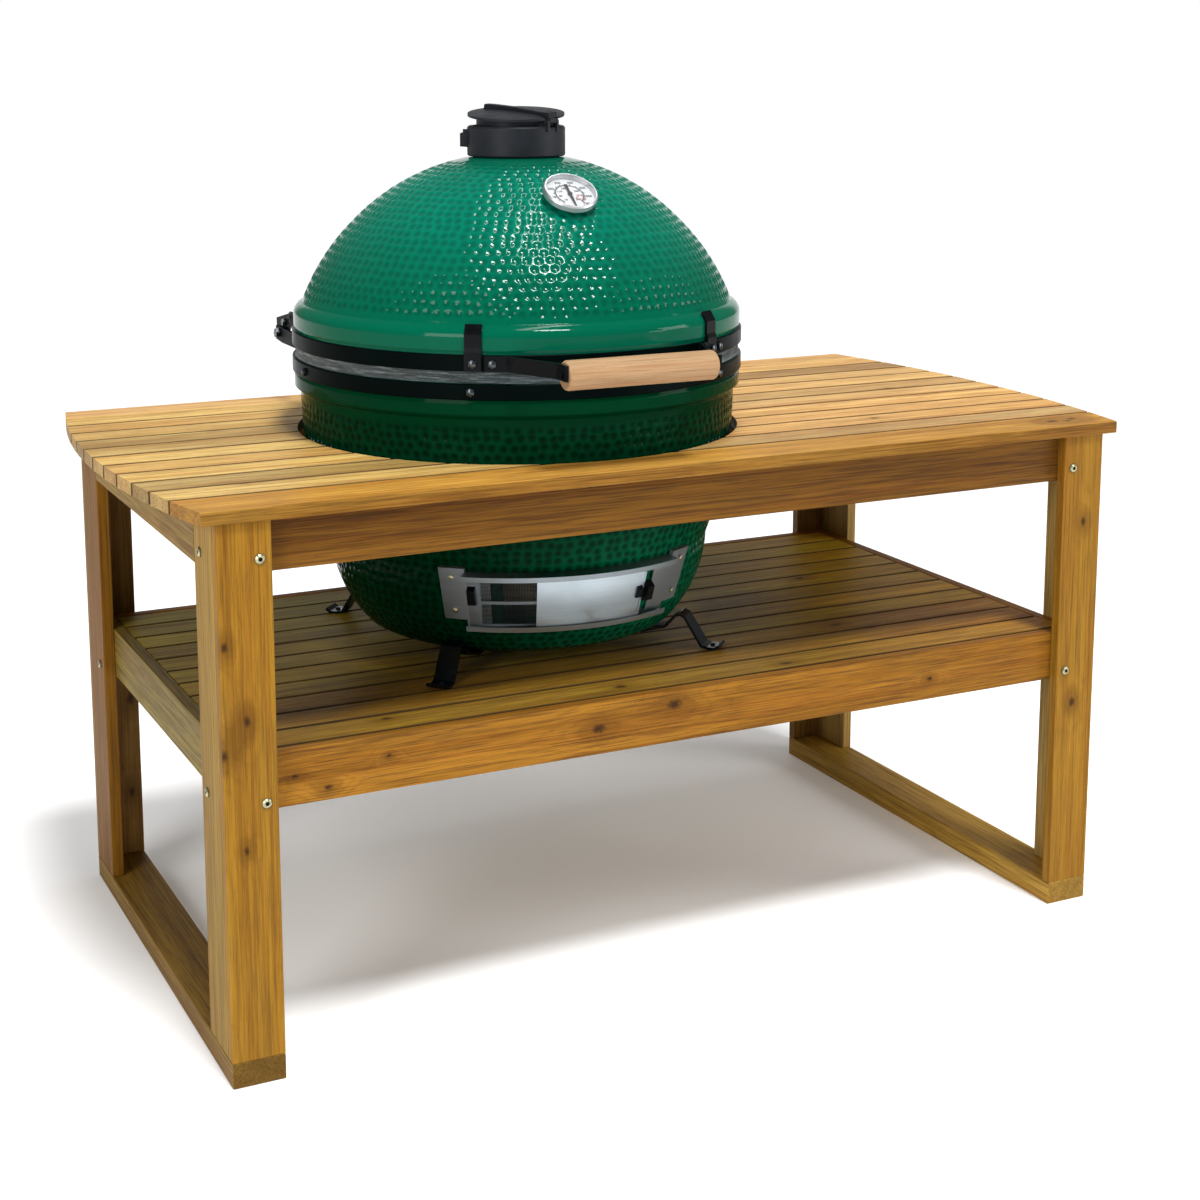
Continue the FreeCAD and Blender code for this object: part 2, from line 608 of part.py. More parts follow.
hv = d("handle_y") - AXIS_Y
arm_parts = []
for s, name, far in ((-1, "left", -121.4), (1, "right", -117.9)):
    body = new_body("handle_arm_" + name)

    def pt(az, r):
        return (s * abs(r * math.cos(math.radians(az))), r * math.sin(math.radians(az)))

    end_in, end_out = HL / 2.0 + 0.5, HL / 2.0 + 4.5
    outline_pts = [pt(far, 342.9), pt(-115, 342.9), pt(-115, 346.5), (s * end_in, hv + 16), (s * end_in, hv - 14),
                   (s * end_out, hv - 14), (s * end_out, hv + 15), pt(-116.3, 346.8), pt(far, 346.8)]
    sketch = profile(body, "XY_Plane", outline_pts, "Plan")
    pad(body, sketch, 21.6, both=True)
    place(body, AXIS_X, AXIS_Y, d("handle_z") + 4.4)
    arm_parts.append(body)
rod = cylinder("handle_rod", 5.0, HL + 16.0, (AXIS_X - HL / 2.0 - 8.0, d("handle_y"), d("handle_z")), (1, 0, 0))
arm_parts.append(rod)
node(fuse("handle_bracket", arm_parts), "handle_bracket")

# -------------------------------------------------------------------- cap
CR, CL, CT = d("cap_rad"), d("cap_low"), d("cap_top")
collar = new_body("cap_collar_body")
sketch = profile(collar, "XZ_Plane", [
    (d("neck_rad") + 1.0, CL), (CR - 2, CL), (CR, CL + 2), (CR, CT - 5), (CR - 5, CT), (CR - 8, CT), (CR - 8, d("neck_top") + 5),
    (46, d("neck_top") + 5), (46, d("neck_top") + 0.02), (d("neck_rad") + 1.0, d("neck_top") + 0.02)], "Profile",
    {3: (CR.value - 5 + 5 * math.sin(math.radians(45)), CT.value - 5 + 5 * math.cos(math.radians(45)))})
revolve(collar, sketch)
on_axis(collar)
haz = VAL["cap_hinge_azimuth"]
ear_parts = [collar]
for s in (-1, 1):
    ear = new_body("cap_ear_%d" % (1 if s > 0 else 2))
    sketch = profile(ear, "XZ_Plane", [(67.8, 1220), (76.0, 1220), (76.0, d("cap_pin_z")), (68.0, d("cap_pin_z"))], "Ear",
                     {2: (72.0, VAL["cap_pin_z"] + 4.0)})
    pad(ear, sketch, 4.0, both=True)
    a = math.radians(haz + 90)
    place(ear, AXIS_X + s * 10.0 * math.cos(a), AXIS_Y + s * 10.0 * math.sin(a), 0, Rotation(Vector(0, 0, 1), haz))
    ear_parts.append(ear)
# grip lug on the collar's side
lug = new_body("cap_lug")
sketch = profile(lug, "XZ_Plane", [(71.0, 1196), (84.5, 1197), (84.5, 1216.5), (80.0, 1218), (80.0, 1222.5), (71.0, 1222.5)], "Lug")
pad(lug, sketch, 20.0, both=True)
on_axis(lug, 156.0)
ear_parts.append(lug)
ha = math.radians(haz)
collar_solid = fuse("cap_collar_solid", ear_parts)
pin_dir = Vector(-math.sin(ha), math.cos(ha), 0)
pin_mid = Vector(VAL["hole_x"] + VAL["cap_pin_r"] * math.cos(ha), VAL["hole_y"] + VAL["cap_pin_r"] * math.sin(ha), VAL["cap_pin_z"])
cap_bore = cylinder("cap_bore", d("cap_pin_rad"), 40.0, tuple(pin_mid - pin_dir * 20), tuple(pin_dir))
node(cut("cap_collar", collar_solid, cap_bore), "cap_collar")
cap_pin = cylinder("cap_hinge_pin", d("cap_pin_rad"), 26.0, tuple(pin_mid - pin_dir * 13), tuple(pin_dir))
node(cap_pin, "cap_hinge_pin")

# rain cap: a shallow disc with a rib across it, hinged at its front edge and
# resting a few degrees open.  Drawn flat, about its hinge pin, then tilted
# about a horizontal line across the cap; its knuckle stays in line with the pin.
RC = VAL["rain_cap_rad"]
flat = Part.makeCylinder(RC, 3.6, Vector(VAL["cap_pin_r"], 0, 2.6))
crown_rad = (RC * RC + 9.0) / 6.0
crown = Part.makeSphere(crown_rad, Vector(VAL["cap_pin_r"], 0, 6.2 + 3.0 - crown_rad)).common(
    Part.makeCylinder(RC, 12.0, Vector(VAL["cap_pin_r"], 0, 6.19)))
rib_pts = [(4.0, 5.0), (4.0, 10.6), (14.0, 12.6), (70.0, 15.2), (120.0, 15.0), (133.0, 14.4), (134.5, 5.5)]
rib = Part.Face(Part.makePolygon([Vector(x, -5.5, z) for x, z in rib_pts + rib_pts[:1]])).extrude(Vector(0, 11.0, 0))
rib = rib.makeFillet(1.8, [e for e in rib.Edges if e.BoundBox.ZMin > 10.0 and e.BoundBox.YLength < 0.1 and e.Length > 20])
latch = Part.makeBox(17.0, 18.0, 7.8, Vector(-2.5, -9.0, 5.9))
for k in range(3):
    latch = latch.cut(Part.makeBox(20.0, 1.0, 1.4, Vector(-3.0, -6.5 + 6.0 * k, 12.5)))
    latch = latch.cut(Part.makeBox(1.0, 20.0, 1.2, Vector(-3.0, -10.0, 7.2 + 2.2 * k)))
ear_slots = [Part.makeBox(10.5, 6.2, 16.0, Vector(-4.0, 7.1, -6.0)), Part.makeBox(10.5, 6.2, 16.0, Vector(-4.0, -13.3, -6.0))]
plate = flat.fuse(crown).cut(Part.makeCompound(ear_slots))
rain = plate.fuse([rib, latch])
tilt_axis = Vector(math.cos(math.radians(-26.0 - haz - 180.0)), math.sin(math.radians(-26.0 - haz - 180.0)), 0)
rain.rotate(Vector(0, 0, 0), tilt_axis, VAL["rain_cap_tilt"])
# skirt: a ring under the tilted disc that drops inside the collar
skirt = Part.makeCylinder(60.0, 40.0, Vector(VAL["cap_pin_r"], 0, -10.0)).cut(
    Part.makeCylinder(57.5, 44.0, Vector(VAL["cap_pin_r"], 0, -12.0)))
under = Part.makeBox(400.0, 400.0, 100.0, Vector(-200.0, -200.0, -96.8))
under.rotate(Vector(0, 0, 0), tilt_axis, VAL["rain_cap_tilt"])
rain = rain.fuse(skirt.common(under))
knuckle = Part.makeCylinder(4.0, 14.0, Vector(0, -7.0, 0), Vector(0, 1, 0)).fuse(Part.makeBox(8.0, 14.0, 4.5, Vector(-4.0, -7.0, 0)))
rain = rain.fuse(knuckle)
rain = rain.cut(Part.makeCylinder(VAL["cap_pin_rad"] + 0.05, 40.0, Vector(0, -20.0, 0), Vector(0, 1, 0))).removeSplitter()
rain.rotate(Vector(0, 0, 0), Vector(0, 0, 1), haz + 180.0)
rain.translate(pin_mid)
rain_cap = doc.addObject("Part::Feature", "rain_cap")
rain_cap.Shape = rain
node(rain_cap, "rain_cap")

# ------------------------------------------------------------ thermometer
t_rot = Rotation(Vector(0, 0, 1), t_axis)


def thermo_body(name, verts, arcs=None):
    body = new_body(name)
    sketch = profile(body, "XZ_Plane", verts, "Half", arcs)
    revolve(body, sketch)
    place(body, t_point.x, t_point.y, t_point.z, t_rot)
    return node(body, name)


TR = d("thermo_rad")
thermo_body("thermometer_case", [
    (0, -62), (3.0, -60), (3.0, 0), (12, 0), (12, 4.5), (TR - 3, 4.5), (TR, 7.5), (TR, 14.5), (TR - 1.5, 17),
    (TR - 3.4, 17), (TR - 3.4, 7.0), (0, 7.0)])
thermo_body("thermometer_dial", [(0, 7.02), (TR - 3.5, 7.02), (TR - 3.5, 8.4), (0, 8.4)])
thermo_body("thermometer_lens", [(0, 13.6), (TR - 3.5, 13.6), (TR - 3.5, 15.2), (0, 15.2)])
# the needle's pivot is on the dial's axis; local +Y is uphill on the dome
needle_pts = [(-2.6, -21.0), (2.6, -21.0), (1.6, -8.0), (2.3, 0.0), (0.7, 28.5), (-0.7, 28.5), (-2.3, 0.0), (-1.6, -8.0)]
needle = Part.Face(Part.makePolygon([Vector(x, y, 10.2) for x, y in needle_pts + needle_pts[:1]])).extrude(Vector(0, 0, 0.7))
needle = needle.fuse(Part.makeCylinder(3.4, 2.6, Vector(0, 0, 9.2))).removeSplitter()
up = Vector(0, 0, 1) - t_axis * t_axis.z
up.normalize()
right = up.cross(t_axis)
frame_rot = FreeCAD.Matrix(right.x, up.x, t_axis.x, t_point.x, right.y, up.y, t_axis.y, t_point.y,
                           right.z, up.z, t_axis.z, t_point.z, 0, 0, 0, 1)
needle.rotate(Vector(0, 0, 0), Vector(0, 0, 1), -180.0)
needle.Placement = Placement(frame_rot).multiply(needle.Placement)
needle_obj = doc.addObject("Part::Feature", "thermometer_needle")
needle_obj.Shape = needle
node(needle_obj, "thermometer_needle")

# ------------------------------------------------------------- draft door
DR0, DZ0 = d("draft_low_r"), d("draft_low_z")
dlen = math.hypot(VAL["draft_dr"], VAL["draft_dz"])
ds = (VAL["draft_dr"] / dlen, VAL["draft_dz"] / dlen)
dn = (ds[1], -ds[0])
DA = VAL["draft_azimuth"]


def sn(s, n):
    """Point of the draft door's section: s up along the bowl, n outwards."""
    return (DR0 + (s * ds[0] + n * dn[0]), DZ0 + (s * ds[1] + n * dn[1]))


def draft(name, section, sweep, azimuth, cuts=()):
    body = new_body(name)
    revolve(body, profile(body, "XZ_Plane", [sn(*q) for q in section], "Section"), sweep)
    for verts, angle in cuts:
        doc.recompute()
        before = body.Shape.Volume
        groove(body, profile(body, "XZ_Plane", [sn(*q) for q in verts], "Cut"), angle)
        doc.recompute()
        if not body.Shape.Volume < before - 1.0:
            raise RuntimeError(name + ": a cut removed nothing")
    on_axis(body, azimuth)
    return body


L = dlen
channel = draft("draft_channel", [
    (0, -9), (L, -9), (L, 10.4), (L - 8, 10.4), (L - 8, 9.2), (L - 1.5, 9.2), (L - 1.5, 1.5),
    (1.5, 1.5), (1.5, 9.2), (8, 9.2), (8, 10.4), (0, 10.4)], 65.0, DA,
    [([(9, -12), (L - 9, -12), (L - 9, 5), (9, 5)], 50.0)])
flange = draft("draft_flange", [(14, -9), (L + 8, -9), (L + 8, 1.5), (14, 1.5)], 79.0, DA,
               [([(9, -12), (L + 12, -12), (L + 12, 5), (9, 5)], 64.0)])
# the frame is scribed to the bowl a tenth of a millimetre off its glaze
grow = 1.00035
seat_verts = [(0, 482), (238, 482), (291, 608), (331, 836), (0, 836)]
seat_mids = {1: (268.5, 524), 2: (322.5, 732)}
seat = turned("draft_seat", [(x * grow, 560 + (z - 560) * grow) for x, z in seat_verts],
              {k: (x * grow, 560 + (z - 560) * grow) for k, (x, z) in seat_mids.items()})
draft_frame = cut("draft_frame", fuse("draft_frame_blank", [channel, flange]), seat)
node(draft_frame, "draft_frame")

door = draft("draft_door_sheet", [(2.6, 6.3), (L - 2.6, 6.3), (L - 2.6, 7.5), (2.6, 7.5)], 33.0, -92.5)
door_edge = draft("draft_door_edge", [(10, 7.5), (L - 10, 7.5), (L - 10, 8.8), (10, 8.8)], 0.45, -76.4)
node(fuse("draft_door", [door, door_edge]), "draft_door")

screen = draft("draft_screen", [(2.6, 3.0), (L - 2.6, 3.0), (L - 2.6, 4.6), (2.6, 4.6)], 51.0, -103.0,
               [([(11, 3.6), (43.5, 3.6), (43.5, 6.2), (11, 6.2)], 43.5),
                ([(48.5, 3.6), (L - 11, 3.6), (L - 11, 6.2), (48.5, 6.2)], 43.5)])
node(screen, "draft_screen")
knob = draft("door_knob_left", [(38, 7.6), (58, 7.6), (55, 13), (41, 13)], 1.6, -77.65)
knob_right = draft("door_knob_right", [(31, 7.6), (65, 7.6), (59, 18), (37, 18)], 2.2, -74.9)
node(group("door_knob", [knob, knob_right]), "door_knob")
node(draft("screen_knob", [(42, 4.7), (72, 4.7), (69, 12), (45, 12)], 2.2, -127.2), "screen_knob")

draft_places = []
for az in (DA - 35.8, DA + 36.0):
    for s in (30.0, 84.0):
        r, z = sn(s, 1.55)
        a = math.radians(az)
        out = Vector(math.cos(a) * dn[0], math.sin(a) * dn[0], dn[1])
        draft_places.append((at_azimuth(az, num(r), num(z))[0], out))
screws("draft_screws", draft_places, size=4.6, high=3.6)

# ---------------------------------------------------- linings and grates
firebox = turned("fire_box_blank", [
    (110, d("firebox_low") + 0.02), (160, d("firebox_low") + 0.02), (200, 512), (226, 560), (238, 640), (240, d("firebox_top")),
    (216, d("firebox_top")), (214, 640), (203, 570), (180, 532), (150, 516), (110, 516)])
front_notch = box("fire_box_notch", AXIS_X - 62.0, AXIS_Y - 260.0, 520.0, 90.0, 120.0, 46.0)
node(cut("fire_box", firebox, front_notch), "fire_box")
node(turned("fire_ring", [
    (216, d("firebox_top") + 0.02), (244, d("firebox_top") + 0.02), (262, 760), (285, 800), (292, d("ring_top")),
    (262, d("ring_top")), (256, 806), (234, 774), (216, 762)]), "fire_ring")


def grate(name, radius, z, rod_rad, ring_rad, spacing):
    """Round grate: a ring and cross bar with parallel rods set into it."""
    ring = Part.makeTorus(radius - ring_rad, ring_rad, Vector(0, 0, 0), Vector(0, 0, 1))
    rods = []
    count = int((radius - ring_rad) / spacing)
    for i in range(-count, count + 1):
        y = i * spacing
        half = math.sqrt(max((radius - ring_rad) ** 2 - y * y, 0.0))
        if half > 20:
            rods.append(Part.makeCylinder(rod_rad, 2 * half, Vector(-half, y, 0), Vector(1, 0, 0)))
    cross = Part.makeCylinder(rod_rad, 2 * (radius - ring_rad), Vector(0, -(radius - ring_rad), 0), Vector(0, 1, 0))
    solid = ring.fuse(rods + [cross])
    solid.translate(Vector(VAL["hole_x"], VAL["hole_y"], z))
    obj = doc.addObject("Part::Feature", name)
    obj.Shape = solid
    return node(obj, name)


grate("cooking_grate", VAL["grate_rad"] - 3.0, VAL["ring_top"] + 4.1, 2.6, 4.0, 24.0)

fire_grate = new_body("fire_grate")
sketch = profile(fire_grate, "XZ_Plane", [(0, 516.05), (d("fire_grate_rad"), 516.05), (d("fire_grate_rad"), 524), (0, 524)], "Half")
revolve(fire_grate, sketch)
doc.recompute()
slot = profile(fire_grate, "XY_Plane", [(30, -6), (112, -6), (112, 6), (30, 6)], "Slot")
pocket = fire_grate.newObject("PartDesign::Pocket", "Pocket")
pocket.Profile = slot
pocket.Type = "ThroughAll"
pocket.SideType = "Symmetric"
doc.recompute()
pattern = fire_grate.newObject("PartDesign::PolarPattern", "Slots")
pattern.Originals = [pocket]
pattern.Axis = (slot, ["N_Axis"])
pattern.Angle = 360
pattern.Occurrences = 8
fire_grate.Tip = pattern
on_axis(fire_grate)
node(fire_grate, "fire_grate")

# --------------------------------------------------------- foot cradle
SWD, STK = d("strap_width"), d("strap_thick")
st = VAL["strap_thick"] / 2.0
path = [(-2.0, 463.0), (205.0, 463.0), (243.0, 473.5), (258.0, 491.0), (266.0, 494.5), (274.0, 491.0), (301.0, 447.6), (310.0, 445.6), (322.0, 445.6), (329.0, 450.5)]


def offset_path(points, dist):
    out = []
    for i, (x, z) in enumerate(points):
        a = points[max(i - 1, 0)]
        b = points[min(i + 1, len(points) - 1)]
        def unit(p, q):
            ln = math.hypot(q[0] - p[0], q[1] - p[1])
            return ((q[0] - p[0]) / ln, (q[1] - p[1]) / ln)
        u1 = unit(a, (x, z)) if i > 0 else unit((x, z), b)
        u2 = unit((x, z), b) if i < len(points) - 1 else u1
        n1, n2 = (-u1[1], u1[0]), (-u2[1], u2[0])
        nx, nz = n1[0] + n2[0], n1[1] + n2[1]
        scale = 2.0 / (nx * nx + nz * nz)
        out.append((x + nx * scale * dist, z + nz * scale * dist))
    return out


upper_side = offset_path(path, st)
lower_side = offset_path(path, -st)
arms = []
for i in range(4):
    strap = new_body("cradle_strap_%d" % (i + 1))
    sketch = profile(strap, "XZ_Plane", [(x, z) for x, z in lower_side] + [(x, z) for x, z in reversed(upper_side)], "Side")
    pad(strap, sketch, SWD, both=True)
    on_axis(strap, 45.0 + 90.0 * i)
    arms.append(strap)
node(fuse("foot_cradle", arms), "foot_cradle")
screws("foot_screws", [(at_azimuth(45.0 + 90.0 * i, 315.0, 447.65)[0], Vector(0, 0, 1)) for i in range(4)], size=4.2, high=3.0)

# ------------------------------------------------------------------ write
doc.recompute()
bad = []
for obj in doc.Objects:
    if "Invalid" in obj.State or "Error" in obj.State:
        bad.append(obj.Name)
if bad:
    raise RuntimeError("failed objects: " + ", ".join(bad))
for obj, name in KEEP:
    shape = obj.Shape
    if shape.isNull() or not shape.isValid() or not shape.Solids:
        raise RuntimeError("bad shape: " + name)
total = Part.makeCompound([o.Shape for o, _ in KEEP]).BoundBox
print("bounds", [round(v, 2) for v in (total.XMin, total.XMax, total.YMin, total.YMax, total.ZMin, total.ZMax)])
for obj, name in KEEP:
    obj.Shape.exportStep("parts/%s.step" % name)
    print("%-26s solids %2d  volume %12.0f" % (name, len(obj.Shape.Solids), obj.Shape.Volume))
print(len(KEEP), "nodes")
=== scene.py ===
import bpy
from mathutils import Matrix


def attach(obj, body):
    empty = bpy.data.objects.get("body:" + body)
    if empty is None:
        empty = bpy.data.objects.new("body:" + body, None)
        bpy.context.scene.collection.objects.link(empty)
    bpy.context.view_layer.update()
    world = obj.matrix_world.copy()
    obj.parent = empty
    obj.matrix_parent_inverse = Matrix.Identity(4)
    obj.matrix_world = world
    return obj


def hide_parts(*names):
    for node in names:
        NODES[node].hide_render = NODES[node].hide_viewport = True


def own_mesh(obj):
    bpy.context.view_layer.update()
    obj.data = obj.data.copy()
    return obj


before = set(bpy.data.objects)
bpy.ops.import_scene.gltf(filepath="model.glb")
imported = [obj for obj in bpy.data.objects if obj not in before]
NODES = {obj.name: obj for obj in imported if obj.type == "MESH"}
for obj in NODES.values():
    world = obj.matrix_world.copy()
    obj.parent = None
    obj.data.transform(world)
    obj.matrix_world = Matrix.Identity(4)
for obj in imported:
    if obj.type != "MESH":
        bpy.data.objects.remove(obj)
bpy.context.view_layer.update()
import math
import random

import bpy
import numpy as np
from mathutils import Matrix, Vector, kdtree
from mathutils.noise import noise as waver

# ------------------------------------------------------------- the camera
cam_data = bpy.data.cameras.new("camera")
cam = bpy.data.objects.new("camera", cam_data)
bpy.context.scene.collection.objects.link(cam)
bpy.context.scene.camera = cam
YAW, PITCH, FOCAL = math.radians(26.23), math.radians(9.68), 2020.0
cam.location = (-1.353, -2.801, 1.332)
aim = Vector((math.sin(YAW) * math.cos(PITCH), math.cos(YAW) * math.cos(PITCH), -math.sin(PITCH)))
cam.rotation_mode = "QUATERNION"
cam.rotation_quaternion = aim.to_track_quat("-Z", "Y")
cam_data.sensor_width = 36.0
cam_data.lens = FOCAL / 1200.0 * 36.0
cam_data.shift_x = 0.0
cam_data.shift_y = -200.0 / 1200.0
cam_data.clip_start, cam_data.clip_end = 0.05, 60.0

# ------------------------------------------------------------ node helpers


def lin(r, g, b):
    """sRGB 0-255 to linear RGBA."""
    out = []
    for c in (r, g, b):
        c = c / 255.0
        out.append(c / 12.92 if c <= 0.04045 else ((c + 0.055) / 1.055) ** 2.4)
    return (*out, 1.0)


class Graph:
    def __init__(self, name):
        self.mat = bpy.data.materials.new(name)
        self.mat.use_nodes = True
        self.tree = self.mat.node_tree
        self.tree.nodes.clear()
        self.out = self.tree.nodes.new("ShaderNodeOutputMaterial")
        self.bsdf = self.tree.nodes.new("ShaderNodeBsdfPrincipled")
        self.link(self.bsdf.outputs["BSDF"], self.out.inputs["Surface"])

    def link(self, a, b):
        self.tree.links.new(a, b)

    def node(self, kind, **props):
        n = self.tree.nodes.new(kind)
        for k, v in props.items():
            setattr(n, k, v)
        return n

    def feed(self, socket, value):
        if isinstance(value, bpy.types.NodeSocket):
            self.link(value, socket)
        elif value is not None:
            socket.default_value = value

    def math(self, op, a, b=None, c=None, clamp=False):
        n = self.node("ShaderNodeMath", operation=op, use_clamp=clamp)
        self.feed(n.inputs[0], a)
        if b is not None:
            self.feed(n.inputs[1], b)
        if c is not None:
            self.feed(n.inputs[2], c)
        return n.outputs[0]

    def xyz(self):
        n = self.node("ShaderNodeTexCoord")
        s = self.node("ShaderNodeSeparateXYZ")
        self.link(n.outputs["Object"], s.inputs[0])
        return n.outputs["Object"], s.outputs[0], s.outputs[1], s.outputs[2]

    def combine(self, x, y, z):
        n = self.node("ShaderNodeCombineXYZ")
        self.feed(n.inputs[0], x)
        self.feed(n.inputs[1], y)
        self.feed(n.inputs[2], z)
        return n.outputs[0]

    def noise(self, vec, scale=1.0, detail=2.0, rough=0.5, distortion=0.0, lac=2.0):
        n = self.node("ShaderNodeTexNoise")
        self.link(vec, n.inputs["Vector"])
        n.inputs["Scale"].default_value = scale
        n.inputs["Detail"].default_value = detail
        n.inputs["Roughness"].default_value = rough
        n.inputs["Lacunarity"].default_value = lac
        n.inputs["Distortion"].default_value = distortion
        return n.outputs["Fac"]

    def ramp(self, fac, stops, mode="LINEAR"):
        n = self.node("ShaderNodeValToRGB")
        n.color_ramp.interpolation = mode
        el = n.color_ramp.elements
        while len(el) < len(stops):
            el.new(0.5)
        for e, (p, c) in zip(el, stops):
            e.position = p
            e.color = c if len(c) == 4 else (*c, 1.0)
        self.feed(n.inputs[0], fac)
        return n.outputs[0]

    def rng(self, v, a, b, c=0.0, d=1.0, smooth=False):
        n = self.node("ShaderNodeMapRange", interpolation_type="SMOOTHSTEP" if smooth else "LINEAR")
        self.feed(n.inputs[0], v)
        for i, q in zip((1, 2, 3, 4), (a, b, c, d)):
            n.inputs[i].default_value = q
        return n.outputs[0]

    def mix(self, fac, a, b, blend="MIX"):
        n = self.node("ShaderNodeMix", data_type="RGBA", blend_type=blend)
        self.feed(n.inputs["Factor"], fac)
        self.feed(n.inputs[6], a)
        self.feed(n.inputs[7], b)
        return n.outputs[2]

    def bump(self, height, strength=0.3, distance=0.001, normal=None):
        n = self.node("ShaderNodeBump")
        n.inputs["Strength"].default_value = strength
        n.inputs["Distance"].default_value = distance
        self.link(height, n.inputs["Height"])
        if normal is not None:
            self.link(normal, n.inputs["Normal"])
        return n.outputs[0]

    def set(self, **kw):
        names = {"base": "Base Color", "rough": "Roughness", "metal": "Metallic", "normal": "Normal",
                 "coat": "Coat Weight", "coat_rough": "Coat Roughness", "spec": "Specular IOR Level",
                 "alpha": "Alpha", "ior": "IOR", "transmission": "Transmission Weight", "sheen": "Sheen Weight",
                 "coat_normal": "Coat Normal", "sss": "Subsurface Weight"}
        for k, v in kw.items():
            self.feed(self.bsdf.inputs[names[k]], v)
        return self.mat


def grey(v):
    return (v, v, v, 1.0)


